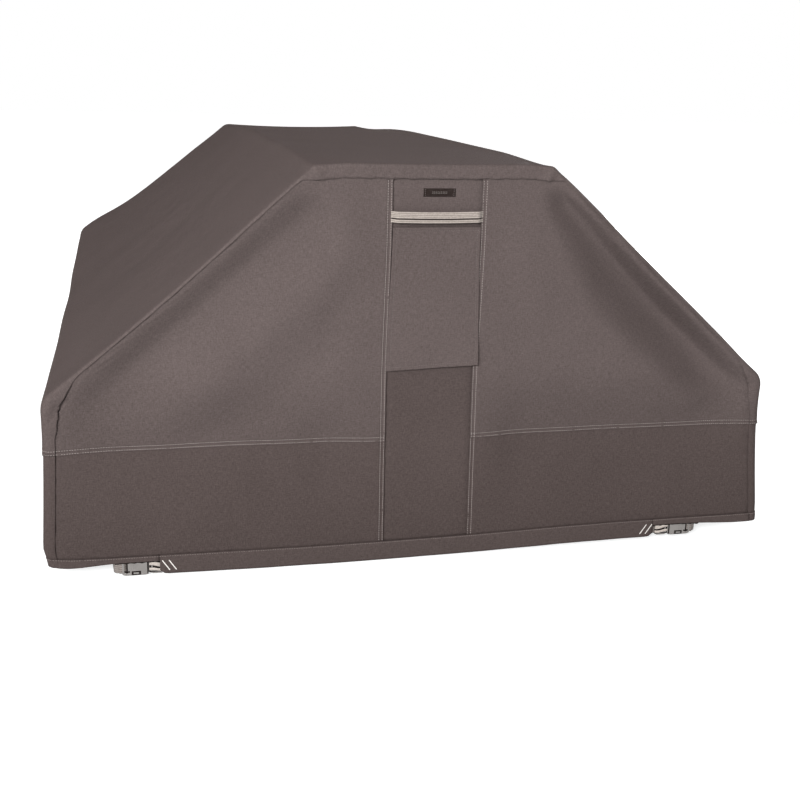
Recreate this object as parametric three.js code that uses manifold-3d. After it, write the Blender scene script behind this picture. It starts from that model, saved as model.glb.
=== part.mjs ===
// A fitted cover for an A-frame picnic table: a sewn fabric shell with a vent flap and a handle
// on each end, and a buckled webbing strap that goes round each of the table's four legs.
// Millimetres, +Z up. X runs across the benches, Y along the table, and the front end faces -Y.
// The origin is under the middle of the cover, at the level of its lowest hem.

import * as THREE from 'three';
import { mergeVertices } from 'three/addons/utils/BufferGeometryUtils.js';
import Module from 'manifold-3d';

const wasm = await Module();
wasm.setup();

// The shell.
const LENGTH = 1830;
const WIDTH = 1360;
const HEIGHT = 727;
const CROWN_WIDTH = 430;
const BENCH_HEIGHT = 319;
const CROWN_RADIUS = 28;
const BENCH_RADIUS = 45;
const SKIN = 3;
const GAP = 0.3;
const MID_SEAM_HEIGHT = 221;
const HEM_SEAM_HEIGHT = 32;
const OUTER_HEM_HEIGHT = 14;

// How far the main panel folds over on to each end.
const TOP_LIP = 24;
const SLOPE_LIP = 6;
const SIDE_LIP = 20;

// The vent column in the middle of each end.
const COLUMN_WIDTH = 172;
const VENT_BOTTOM = 400;
const VENT_TOP = 612;
const MESH_THICKNESS = 1.5;
const FLAP_WIDTH = 174;
const FLAP_BOTTOM = 354;
const FLAP_TOP = 613;
const FLAP_THICKNESS = 3;
const FLAP_STAND_OFF = 1;

// The handle: a webbing and its backing strip, sewn down at both ends.
const HANDLE_WIDTH = 162;
const HANDLE_TOP = 642;
const HANDLE_BAND = 12;
const BACKING_BAND = 18;
const HANDLE_THICKNESS = 1.6;
const HANDLE_REACH = 9;
const HANDLE_END = 12;

// The woven label on the front header.
const LABEL_WIDTH = 58;
const LABEL_HEIGHT = 16;
const LABEL_THICKNESS = 1;
const LABEL_MIDDLE_X = 11;
const LABEL_MIDDLE_HEIGHT = 677;

// The straps: a side-release buckle beside each leg, and a webbing loop round the leg.
const BUCKLE_JOIN_X = 510;
const BUCKLE_HEIGHT = 34;
const BUCKLE_BOTTOM = 1;
const BUCKLE_THICKNESS = 10;
const BUCKLE_SETBACK = 3.8;
const SOCKET_LENGTH = 46;
const SOCKET_WALL = 2;
const CAVITY_LENGTH = 33;
const PLUG_SHOWN = 28;
const PLUG_THICKNESS = 5.2;
const PRONG_LENGTH = 29;
const PRONG_WIDTH = 5.5;
const WINDOW_START = 14;
const WINDOW_LENGTH = 15;
const SLOT_WIDTH = 3.6;
const SLOT_INSET = 3.5;
const SLOT_CLEARANCE = 1;
const CUT_OVERRUN = 1;
const SOCKET_CHAMFER = 6;
const SOCKET_MOUTH_DROP = 1;
const SOCKET_BAR_DROP = 2;
const CAVITY_CLEARANCE = 1;
const PLUG_CLEARANCE = 0.5;
const PLUG_NECK = 8;
const PLUG_CORNER_LENGTH = 5;
const PLUG_CORNER_HEIGHT = 3;
const PRONG_TIP_LENGTH = 3;
const PRONG_TIP_HEIGHT = 2;
const PRONG_ROOT = 2;
const GUIDE_HALF = 2.5;
const GUIDE_POINT = 2;
const WEBBING_HEIGHT = 25;
const WEBBING_THICKNESS = 1.5;
const STRAP_CENTRE_HEIGHT = BUCKLE_BOTTOM + BUCKLE_HEIGHT / 2;
const LOOP_OUTER_X = 582;
const LOOP_INNER_X = 424;
const LOOP_DEPTH = 62;
const LOOP_CORNER = 10;
const LOOP_SEWN_FROM_X = 384;
const LOOP_SEWN_TO_X = 350;
const LOOP_INNER_TURN = Math.PI / 3;
const TAIL_END_X = 436;
const TAB_FROM_X = 460;
const TAB_TO_X = 402;
const CENTRE_HEM_HALF = 463;

const ARC_STEPS = 6;
const LEAST_MITRE = 0.5;
const MERGE_DISTANCE = 1e-4;

const fabric = { color: 0x685d5a, roughness: 0.85, metalness: 0 };
const fabricDark = { color: 0x5d524f, roughness: 0.85, metalness: 0 };
const hemFabric = { color: 0x61564f, roughness: 0.85, metalness: 0 };
const meshFabric = { color: 0x2f2a28, roughness: 0.8, metalness: 0 };
const handleWebbing = { color: 0xc9bdb3, roughness: 0.75, metalness: 0 };
const strapWebbing = { color: 0x7d746d, roughness: 0.8, metalness: 0 };
const labelCloth = { color: 0x3c3331, roughness: 0.7, metalness: 0 };
const buckleResin = { color: 0x97918b, roughness: 0.45, metalness: 0 };

const cover = new THREE.Group();

// Solids and booleans.

function toSolid(geometry) {
  const bare = geometry.clone();
  bare.deleteAttribute('normal');
  bare.deleteAttribute('uv');
  const merged = mergeVertices(bare, MERGE_DISTANCE);
  return new wasm.Manifold(new wasm.Mesh({
    numProp: 3,
    vertProperties: new Float32Array(merged.attributes.position.array),
    triVerts: new Uint32Array(merged.index.array),
  }));
}

function toGeometry(solid) {
  const mesh = solid.getMesh();
  const geometry = new THREE.BufferGeometry();
  geometry.setAttribute('position', new THREE.BufferAttribute(new Float32Array(mesh.vertProperties), 3));
  geometry.setIndex(new THREE.BufferAttribute(new Uint32Array(mesh.triVerts), 1));
  return geometry;
}

function addPiece(name, solid, look) {
  const geometry = toGeometry(solid);
  geometry.computeVertexNormals();
  const mesh = new THREE.Mesh(geometry, new THREE.MeshStandardMaterial(look));
  mesh.name = name;
  cover.add(mesh);
}

// A box from its lowest corner to its highest.
function block(low, high) {
  const size = high.map((value, axis) => value - low[axis]);
  const geometry = new THREE.BoxGeometry(...size);
  geometry.translate(low[0] + size[0] / 2, low[1] + size[1] / 2, low[2] + size[2] / 2);
  return toSolid(geometry);
}

// An XZ outline pushed along Y from one value to another.
function prismAlongY(outline, fromY, toY) {
  const options = { depth: toY - fromY, bevelEnabled: false };
  const geometry = new THREE.ExtrudeGeometry(new THREE.Shape(outline), options);
  geometry.rotateX(Math.PI / 2);
  geometry.translate(0, toY, 0);
  return toSolid(geometry);
}

// An XY outline pushed up from one height to another.
function prismAlongZ(outline, fromZ, toZ) {
  const options = { depth: toZ - fromZ, bevelEnabled: false };
  const geometry = new THREE.ExtrudeGeometry(new THREE.Shape(outline), options);
  geometry.translate(0, 0, fromZ);
  return toSolid(geometry);
}

// The same solid at the other end or on the other side of the cover.
function placed(solid, sideX, sideY) {
  let result = solid;
  if (sideX < 0) {
    result = result.mirror([1, 0, 0]);
  }
  if (sideY > 0) {
    result = result.mirror([0, 1, 0]);
  }
  return result;
}

// Outlines.

// Rounds each corner of a closed outline with its own radius; a radius of 0 leaves it sharp.
function rounded(corners, radii) {
  const result = [];
  corners.forEach((corner, i) => {
    const before = corners[(i + corners.length - 1) % corners.length];
    const after = corners[(i + 1) % corners.length];
    if (radii[i] === 0) {
      result.push(corner.clone());
      return;
    }
    const toBefore = before.clone().sub(corner).normalize();
    const toAfter = after.clone().sub(corner).normalize();
    const half = Math.acos(toBefore.dot(toAfter)) / 2;
    const inward = toBefore.clone().add(toAfter).normalize();
    const centre = inward.multiplyScalar(radii[i] / Math.sin(half)).add(corner);
    const start = toBefore.clone().multiplyScalar(radii[i] / Math.tan(half)).add(corner).sub(centre);
    const end = toAfter.clone().multiplyScalar(radii[i] / Math.tan(half)).add(corner).sub(centre);
    const turn = Math.atan2(start.cross(end), start.dot(end));
    for (let step = 0; step <= ARC_STEPS; step += 1) {
      result.push(start.clone().rotateAround(new THREE.Vector2(), (turn * step) / ARC_STEPS).add(centre));
    }
  });
  return result;
}

// Moves each side of a closed anticlockwise outline inwards by its own distance.
function inset(corners, distances) {
  const sides = corners.map((corner, i) => {
    const along = corners[(i + 1) % corners.length].clone().sub(corner).normalize();
    const inward = new THREE.Vector2(-along.y, along.x);
    return { point: corner.clone().addScaledVector(inward, distances[i]), along };
  });
  return sides.map((side, i) => {
    const last = sides[(i + sides.length - 1) % sides.length];
    const reach = side.point.clone().sub(last.point).cross(side.along) / last.along.cross(side.along);
    return last.point.clone().addScaledVector(last.along, reach);
  });
}

// The cover's section: bottom, right side, right slope, crown, left slope, left side.
function sectionCorners(bottom) {
  return [
    new THREE.Vector2(-WIDTH / 2, bottom),
    new THREE.Vector2(WIDTH / 2, bottom),
    new THREE.Vector2(WIDTH / 2, BENCH_HEIGHT),
    new THREE.Vector2(CROWN_WIDTH / 2, HEIGHT),
    new THREE.Vector2(-CROWN_WIDTH / 2, HEIGHT),
    new THREE.Vector2(-WIDTH / 2, BENCH_HEIGHT),
  ];
}

function section(bottom, distances, loss) {
  const radii = [0, 0, BENCH_RADIUS - loss, CROWN_RADIUS - loss, CROWN_RADIUS - loss, BENCH_RADIUS - loss];
  return rounded(inset(sectionCorners(bottom), distances), radii);
}

function lipDistances(extra) {
  const side = SIDE_LIP + extra;
  const slope = SLOPE_LIP + extra;
  return [0, side, slope, TOP_LIP + extra, slope, side];
}

// The shell panels.

const END_Y = -LENGTH / 2;
const BELOW = -50;

function mainPanel() {
  const outer = prismAlongY(section(MID_SEAM_HEIGHT, [0, 0, 0, 0, 0, 0], 0), END_Y, -END_Y);
  const thin = section(BELOW, [0, SKIN, SKIN, SKIN, SKIN, SKIN], SKIN);
  const hollow = prismAlongY(thin, END_Y + SKIN, -END_Y - SKIN);
  const opening = prismAlongY(section(BELOW, lipDistances(0), SLOPE_LIP), END_Y - SKIN, -END_Y + SKIN);
  addPiece('main_panel', outer.subtract(hollow).subtract(opening), fabric);
}

// A channel along one side that turns a short way on to both ends.
function sideChannel(sideX, thickness) {
  const outer = WIDTH / 2;
  const inner = outer - thickness;
  const returnEnd = outer - SIDE_LIP;
  const far = LENGTH / 2;
  const corners = [
    [returnEnd, -far],
    [outer, -far],
    [outer, far],
    [returnEnd, far],
    [returnEnd, far - thickness],
    [inner, far - thickness],
    [inner, -far + thickness],
    [returnEnd, -far + thickness],
  ];
  return corners.map(([x, y]) => new THREE.Vector2(x * sideX, y));
}

function sidePanels() {
  for (const [side, sideX] of [['left', -1], ['right', 1]]) {
    const outline = sideChannel(sideX, SKIN);
    addPiece(`${side}_skirt`, prismAlongZ(outline, HEM_SEAM_HEIGHT + GAP, MID_SEAM_HEIGHT - GAP), fabricDark);
    addPiece(`${side}_hem`, prismAlongZ(outline, OUTER_HEM_HEIGHT, HEM_SEAM_HEIGHT), hemFabric);
  }
}

const COLUMN_EDGE = COLUMN_WIDTH / 2;
const PANEL_EDGE = WIDTH / 2 - SIDE_LIP - GAP;

// The part of an end above the mid seam on one side of the vent column.
function gore(sideX, sideY) {
  const face = prismAlongY(section(BELOW, lipDistances(GAP), SLOPE_LIP), END_Y, END_Y + SKIN);
  const low = [COLUMN_EDGE + GAP, END_Y - SKIN, MID_SEAM_HEIGHT + GAP];
  const keep = block(low, [WIDTH, END_Y + 2 * SKIN, HEIGHT]);
  return placed(face.intersect(keep), sideX, sideY);
}

function endPanels(end, sideY) {
  for (const [side, sideX] of [['left', -1], ['right', 1]]) {
    addPiece(`${end}_${side}_gore`, gore(sideX, sideY), fabric);
    const skirt = block(
      [COLUMN_EDGE + GAP, END_Y, HEM_SEAM_HEIGHT + GAP],
      [PANEL_EDGE, END_Y + SKIN, MID_SEAM_HEIGHT - GAP],
    );
    addPiece(`${end}_${side}_skirt`, placed(skirt, sideX, sideY), fabricDark);
    const hem = block(
      [CENTRE_HEM_HALF + GAP, END_Y, OUTER_HEM_HEIGHT],
      [PANEL_EDGE, END_Y + SKIN, HEM_SEAM_HEIGHT],
    );
    addPiece(`${end}_${side}_hem`, placed(hem, sideX, sideY), hemFabric);
  }
  const centreHem = block([-CENTRE_HEM_HALF, END_Y, 0], [CENTRE_HEM_HALF, END_Y + SKIN, HEM_SEAM_HEIGHT]);
  addPiece(`${end}_centre_hem`, placed(centreHem, 1, sideY), hemFabric);
}

function ventColumn(end, sideY) {
  const headerTop = HEIGHT - TOP_LIP - GAP;
  const header = block([-COLUMN_EDGE, END_Y, VENT_TOP], [COLUMN_EDGE, END_Y + SKIN, headerTop]);
  addPiece(`${end}_vent_header`, placed(header, 1, sideY), fabric);
  const screen = block(
    [-COLUMN_EDGE, END_Y + SKIN - MESH_THICKNESS, VENT_BOTTOM + GAP],
    [COLUMN_EDGE, END_Y + SKIN, VENT_TOP - GAP],
  );
  addPiece(`${end}_vent_mesh`, placed(screen, 1, sideY), meshFabric);
  const lower = block(
    [-COLUMN_EDGE, END_Y, HEM_SEAM_HEIGHT + GAP],
    [COLUMN_EDGE, END_Y + SKIN, VENT_BOTTOM],
  );
  addPiece(`${end}_centre_panel`, placed(lower, 1, sideY), fabricDark);
}

function ventFlap(end, sideY) {
  const back = END_Y - FLAP_STAND_OFF;
  const flap = block(
    [-FLAP_WIDTH / 2, back - FLAP_THICKNESS, FLAP_BOTTOM],
    [FLAP_WIDTH / 2, back, FLAP_TOP],
  );
  addPiece(`${end}_vent_flap`, placed(flap, 1, sideY), fabric);
}

// A strip that lies on the header at both ends and stands off it between them.
function handleStrip(reach, band) {
  const half = HANDLE_WIDTH / 2;
  const root = END_Y - GAP;
  const face = END_Y - reach;
  const outline = [
    [-half, root],
    [-half, root - HANDLE_THICKNESS],
    [-half + HANDLE_END, face - HANDLE_THICKNESS],
    [half - HANDLE_END, face - HANDLE_THICKNESS],
    [half, root - HANDLE_THICKNESS],
    [half, root],
    [half - HANDLE_END, face],
    [-half + HANDLE_END, face],
  ].map(([x, y]) => new THREE.Vector2(x, y));
  return prismAlongZ(outline, HANDLE_TOP - band, HANDLE_TOP);
}

function handle(end, sideY) {
  const backing = handleStrip(HANDLE_REACH - HANDLE_THICKNESS - 2 * GAP, BACKING_BAND);
  const forward = HANDLE_THICKNESS + 2 * GAP;
  const webbing = handleStrip(HANDLE_REACH - forward, HANDLE_BAND).translate([0, -forward, 0]);
  addPiece(`${end}_handle_webbing`, placed(webbing, 1, sideY), handleWebbing);
  addPiece(`${end}_handle_backing`, placed(backing, 1, sideY), handleWebbing);
}

function label() {
  const front = END_Y - GAP;
  const leftX = LABEL_MIDDLE_X - LABEL_WIDTH / 2;
  const lowZ = LABEL_MIDDLE_HEIGHT - LABEL_HEIGHT / 2;
  const low = [leftX, front - LABEL_THICKNESS, lowZ];
  const high = [leftX + LABEL_WIDTH, front, lowZ + LABEL_HEIGHT];
  addPiece('front_label', block(low, high), labelCloth);
}

// The straps. Each is drawn for the front right corner, where +X points outwards.

const BUCKLE_FRONT = END_Y + BUCKLE_SETBACK;
const BUCKLE_BACK = BUCKLE_FRONT + BUCKLE_THICKNESS;
const BUCKLE_MIDDLE = BUCKLE_FRONT + BUCKLE_THICKNESS / 2;
const BUCKLE_TOP = BUCKLE_BOTTOM + BUCKLE_HEIGHT;

function webbingSlot(fromX) {
  const half = WEBBING_HEIGHT / 2 + SLOT_CLEARANCE;
  return block(
    [fromX, BUCKLE_FRONT - CUT_OVERRUN, STRAP_CENTRE_HEIGHT - half],
    [fromX + SLOT_WIDTH, BUCKLE_BACK + CUT_OVERRUN, STRAP_CENTRE_HEIGHT + half],
  );
}

function socket() {
  const farX = BUCKLE_JOIN_X + SOCKET_LENGTH;
  const outline = [
    [BUCKLE_JOIN_X, BUCKLE_BOTTOM + SOCKET_MOUTH_DROP],
    [BUCKLE_JOIN_X + SOCKET_CHAMFER, BUCKLE_BOTTOM],
    [farX - SOCKET_CHAMFER, BUCKLE_BOTTOM],
    [farX, BUCKLE_BOTTOM + SOCKET_BAR_DROP],
    [farX, BUCKLE_TOP - SOCKET_BAR_DROP],
    [farX - SOCKET_CHAMFER, BUCKLE_TOP],
    [BUCKLE_JOIN_X + SOCKET_CHAMFER, BUCKLE_TOP],
    [BUCKLE_JOIN_X, BUCKLE_TOP - SOCKET_MOUTH_DROP],
  ].map(([x, z]) => new THREE.Vector2(x, z));
  const body = prismAlongY(outline, BUCKLE_FRONT, BUCKLE_BACK);
  const cavityHalf = BUCKLE_HEIGHT / 2 - SOCKET_WALL - CAVITY_CLEARANCE;
  const cavity = block(
    [BUCKLE_JOIN_X - CUT_OVERRUN, BUCKLE_FRONT + SOCKET_WALL, STRAP_CENTRE_HEIGHT - cavityHalf],
    [BUCKLE_JOIN_X + CAVITY_LENGTH, BUCKLE_BACK - SOCKET_WALL, STRAP_CENTRE_HEIGHT + cavityHalf],
  );
  const windowFrom = BUCKLE_JOIN_X + WINDOW_START;
  const sideWindows = block(
    [windowFrom, BUCKLE_FRONT + SOCKET_WALL, BUCKLE_BOTTOM - CUT_OVERRUN],
    [windowFrom + WINDOW_LENGTH, BUCKLE_BACK - SOCKET_WALL, BUCKLE_TOP + CUT_OVERRUN],
  );
  return body.subtract(cavity).subtract(sideWindows).subtract(webbingSlot(farX - SLOT_INSET - SLOT_WIDTH));
}

// The bar frame with two flexing side prongs and a guide between them, moulded in one.
function plug() {
  const half = BUCKLE_HEIGHT / 2 - SOCKET_WALL - CAVITY_CLEARANCE - PLUG_CLEARANCE;
  const frameHalf = BUCKLE_HEIGHT / 2 - PLUG_CLEARANCE;
  const join = BUCKLE_JOIN_X - GAP;
  const root = join + PRONG_ROOT;
  const tip = join + PRONG_LENGTH;
  const frameEnd = join - PLUG_SHOWN;
  const neck = join - PLUG_NECK;
  const prongInner = half - PRONG_WIDTH;
  const guideTip = tip - PRONG_TIP_LENGTH;
  const lowerHalf = [
    [frameEnd, -frameHalf + PLUG_CORNER_HEIGHT],
    [frameEnd + PLUG_CORNER_LENGTH, -frameHalf],
    [neck, -frameHalf],
    [join, -half],
    [tip - PRONG_TIP_LENGTH, -half],
    [tip, -half + PRONG_TIP_HEIGHT],
    [tip, -prongInner],
    [root, -prongInner],
    [root, -GUIDE_HALF],
    [guideTip - GUIDE_POINT, -GUIDE_HALF],
  ];
  const upperHalf = lowerHalf.map(([x, z]) => [x, -z]).reverse();
  const outline = [...lowerHalf, [guideTip, 0], ...upperHalf]
    .map(([x, z]) => new THREE.Vector2(x, STRAP_CENTRE_HEIGHT + z));
  const y = BUCKLE_MIDDLE - PLUG_THICKNESS / 2;
  return prismAlongY(outline, y, y + PLUG_THICKNESS).subtract(webbingSlot(frameEnd + SLOT_INSET));
}

// A webbing along a route in plan, as the outline between its two faces.
function ribbon(route, thickness) {
  const sides = [[], []];
  route.forEach((point, i) => {
    const before = route[Math.max(i - 1, 0)];
    const after = route[Math.min(i + 1, route.length - 1)];
    const into = point.clone().sub(before).normalize();
    const out = after.clone().sub(point).normalize();
    const along = into.add(out).normalize();
    const across = new THREE.Vector2(-along.y, along.x);
    const edge = i === 0 || i === route.length - 1 ? out.add(point.clone().sub(before)).normalize() : along;
    const mitre = Math.abs(across.dot(new THREE.Vector2(-edge.y, edge.x)));
    const stretch = thickness / 2 / Math.max(mitre, LEAST_MITRE);
    sides[0].push(point.clone().addScaledVector(across, stretch));
    sides[1].push(point.clone().addScaledVector(across, -stretch));
  });
  const outline = [...sides[0], ...sides[1].reverse()];
  const low = STRAP_CENTRE_HEIGHT - WEBBING_HEIGHT / 2;
  return prismAlongZ(outline, low, low + WEBBING_HEIGHT);
}

// A quarter turn in plan between two directions.
function quarter(centreX, centreY, radius, fromAngle, toAngle) {
  const points = [];
  for (let step = 0; step <= ARC_STEPS; step += 1) {
    const angle = fromAngle + ((toAngle - fromAngle) * step) / ARC_STEPS;
    points.push(new THREE.Vector2(centreX + radius * Math.cos(angle), centreY + radius * Math.sin(angle)));
  }
  return points;
}

// From the socket's bar round the outside and the back of the leg, to the back of the centre hem.
function legLoop() {
  const nearY = BUCKLE_MIDDLE;
  const farY = nearY + LOOP_DEPTH;
  const sewnY = END_Y + SKIN + GAP + WEBBING_THICKNESS / 2;
  const startX = BUCKLE_JOIN_X + SOCKET_LENGTH + GAP;
  const route = [
    new THREE.Vector2(startX, nearY),
    ...quarter(LOOP_OUTER_X - LOOP_CORNER, nearY + LOOP_CORNER, LOOP_CORNER, -Math.PI / 2, 0),
    ...quarter(LOOP_OUTER_X - LOOP_CORNER, farY - LOOP_CORNER, LOOP_CORNER, 0, Math.PI / 2),
    ...quarter(LOOP_INNER_X, farY - LOOP_CORNER, LOOP_CORNER, Math.PI / 2, Math.PI / 2 + LOOP_INNER_TURN),
    new THREE.Vector2(LOOP_SEWN_FROM_X, sewnY),
    new THREE.Vector2(LOOP_SEWN_TO_X, sewnY),
  ];
  return ribbon(route, WEBBING_THICKNESS);
}

function plugTail() {
  const fromX = BUCKLE_JOIN_X - GAP - PLUG_SHOWN - GAP;
  const route = [new THREE.Vector2(fromX, BUCKLE_MIDDLE), new THREE.Vector2(TAIL_END_X, BUCKLE_MIDDLE)];
  return ribbon(route, WEBBING_THICKNESS);
}

function strapTab() {
  const y = END_Y + SKIN + GAP + WEBBING_THICKNESS / 2;
  return ribbon([new THREE.Vector2(TAB_FROM_X, y), new THREE.Vector2(TAB_TO_X, y)], WEBBING_THICKNESS);
}

function strap(end, side, sideX, sideY) {
  const corner = `${end}_${side}`;
  addPiece(`${corner}_buckle_socket`, placed(socket(), sideX, sideY), buckleResin);
  addPiece(`${corner}_buckle_plug`, placed(plug(), sideX, sideY), buckleResin);
  addPiece(`${corner}_plug_tail`, placed(plugTail(), sideX, sideY), strapWebbing);
  addPiece(`${corner}_strap_tab`, placed(strapTab(), sideX, sideY), strapWebbing);
  addPiece(`${corner}_leg_loop`, placed(legLoop(), sideX, sideY), strapWebbing);
}

mainPanel();
sidePanels();
label();
for (const [end, sideY] of [['front', -1], ['back', 1]]) {
  endPanels(end, sideY);
  ventColumn(end, sideY);
  ventFlap(end, sideY);
  handle(end, sideY);
  for (const [side, sideX] of [['left', -1], ['right', 1]]) {
    strap(end, side, sideX, sideY);
  }
}

export default cover;
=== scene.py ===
"""A sewn cover for an A-frame picnic table: taupe oxford cloth, a flapped vent and a webbing handle on each
end, and a buckled strap at each leg. Metres, +Z up. X runs across the benches, Y along the table, and the
front end faces -Y."""

import math

import bmesh
import bpy
import numpy as np
from mathutils import Matrix, Vector, noise


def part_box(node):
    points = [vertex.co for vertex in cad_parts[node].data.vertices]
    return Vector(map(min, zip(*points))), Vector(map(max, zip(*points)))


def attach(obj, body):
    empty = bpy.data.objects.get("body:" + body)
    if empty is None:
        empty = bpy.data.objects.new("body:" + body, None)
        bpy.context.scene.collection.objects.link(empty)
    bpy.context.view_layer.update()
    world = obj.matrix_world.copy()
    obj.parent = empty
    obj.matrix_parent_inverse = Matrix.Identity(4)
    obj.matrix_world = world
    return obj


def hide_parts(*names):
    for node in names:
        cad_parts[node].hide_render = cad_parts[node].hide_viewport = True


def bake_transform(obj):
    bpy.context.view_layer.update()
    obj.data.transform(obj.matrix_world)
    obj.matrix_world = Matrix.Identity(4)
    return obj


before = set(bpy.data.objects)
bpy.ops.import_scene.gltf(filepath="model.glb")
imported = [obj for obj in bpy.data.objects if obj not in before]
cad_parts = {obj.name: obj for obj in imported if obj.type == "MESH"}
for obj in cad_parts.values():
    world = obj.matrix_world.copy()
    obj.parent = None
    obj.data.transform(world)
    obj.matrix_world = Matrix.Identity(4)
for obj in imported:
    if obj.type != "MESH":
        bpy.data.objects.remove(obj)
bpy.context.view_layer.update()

# ---------------------------------------------------------------- sizes, from the frame

MAIN_LOW, MAIN_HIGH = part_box("main_panel")
HALF_LENGTH = MAIN_HIGH.y
HALF_WIDTH = MAIN_HIGH.x
CROWN = MAIN_HIGH.z
MID_SEAM = MAIN_LOW.z
HEM_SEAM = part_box("front_centre_hem")[1].z
OUTER_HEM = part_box("left_hem")[0].z
CENTRE_HEM_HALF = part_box("front_centre_hem")[1].x
TOP_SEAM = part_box("front_vent_header")[1].z
VENT_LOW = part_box("front_vent_mesh")[0].z
VENT_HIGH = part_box("front_vent_mesh")[1].z
FLAP_LOW, FLAP_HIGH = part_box("front_vent_flap")
LABEL_LOW, LABEL_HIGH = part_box("front_label")
SIDE_LIP = HALF_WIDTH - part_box("front_right_skirt")[1].x
BUCKLE_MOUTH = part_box("front_right_buckle_socket")[0].x

# The section's own corners.
CROWN_HALF = 0.215
BENCH = 0.319
CROWN_RADIUS = 0.036
BENCH_RADIUS = 0.045
SLOPE_LIP = 0.004

# How cloth lies over cloth at a seam, outwards from the face of the cover.
CLOTH = 0.0010
LIP_RISE = 0.0015
GORE_RISE = 0.0
SKIRT_RISE = -0.0013
COLUMN_RISE = -0.0028
HEM_RISE = 0.0009
HEM_CLOTH = 0.0022
COLUMN_EDGE = 0.081
COLUMN_LEAN = 0.0085
TUCK = 0.007
STITCH_ROWS = (0.0024, 0.0086)
FLARE = 0.016
SIDE_FLARE = {-1: 0.014, 1: 0.020}
STRAP_SAG = 0.0068

# ---------------------------------------------------------------- small helpers


def ramp(value, low, high):
    """0 at low, 1 at high, and smooth between."""
    t = np.clip((value - low) / (high - low), 0.0, 1.0)
    return t * t * (3.0 - 2.0 * t)


def bump(value, middle, spread):
    return np.exp(-(((value - middle) / spread) ** 2))


def wander(points, scale, seed):
    """Smooth noise from -1 to 1 at each point; scale is its size in metres along X, Y and Z."""
    stretch = 1.0 / np.asarray(scale, float)
    shifted = points * stretch + seed * 7.31
    return np.array([noise.noise(Vector(p)) for p in shifted])


def distance_to_line(x, z, start, end):
    """Signed distance in the XZ plane from the line through start and end, and how far along it."""
    dx, dz = end[0] - start[0], end[1] - start[1]
    length = math.hypot(dx, dz)
    along = ((x - start[0]) * dx + (z - start[1]) * dz) / length
    across = ((x - start[0]) * -dz + (z - start[1]) * dx) / length
    return across, along / length


# ---------------------------------------------------------------- how the cloth settles

SLOPE_START = (CROWN_HALF, CROWN)
SLOPE_END = (HALF_WIDTH, BENCH)


def trough(value, start, bottom, end):
    """A valley from start down to its bottom and up again to end, as 0 to 1."""
    return ramp(value, start, bottom) * ramp(value, end, bottom)


def end_folds(x, z, front):
    """Outward push of an end's cloth: the drape between the crown, the benches and the hem."""
    upper = ramp(z, MID_SEAM - 0.02, MID_SEAM + 0.05) * ramp(z, TOP_SEAM + 0.01, TOP_SEAM - 0.07)
    push = np.zeros_like(x)
    across, along = distance_to_line(np.abs(x), z, SLOPE_START, SLOPE_END)
    # Below the bench the folds hang straight down, parallel to the side.
    inside = np.minimum(np.abs(across), (HALF_WIDTH - np.abs(x)) * 0.9 + 0.002)
    right = ramp(x, 0.13, 0.20) if front else ramp(-x, 0.13, 0.20)
    left = ramp(-x, 0.13, 0.20) if front else ramp(x, 0.13, 0.20)
    # The cloth falls in beside one slope, turns up sharply to its edge, and slowly fills out inwards.
    lower = ramp(z, 0.70, 0.42)
    fade = ramp(along, 0.02, 0.12) * ramp(z, MID_SEAM - 0.02, BENCH + 0.02)
    push -= (
        right * fade * (0.017 + 0.037 * lower)
        * trough(inside, 0.010, 0.030 + 0.016 * lower, 0.068 + 0.080 * lower)
    )
    push += 0.0050 * right * upper * bump(inside, 0.200, 0.070)
    push += 0.0022 * right * fade * bump(inside, 0.014, 0.009)
    # Beside the other slope it dips more gently, to a long roll with a shallow fold under it.
    push -= 0.0210 * left * fade * trough(inside, 0.0, 0.066, 0.180)
    push += 0.0045 * left * upper * bump(inside, 0.170, 0.055)
    push -= 0.0065 * left * upper * bump(inside, 0.262, 0.055)
    push += 0.0030 * left * upper * bump(inside, 0.350, 0.055)
    # The cloth draws in to the mid seam from above, and the skirt hangs a little hollow under it.
    clear = ramp(np.abs(x), 0.10, 0.2)
    push -= 0.0130 * clear * ramp(z, MID_SEAM + 0.13, MID_SEAM + 0.01) * ramp(z, HEM_SEAM, MID_SEAM)
    push -= 0.0020 * bump(z, 0.120, 0.05) * clear
    return push


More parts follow.
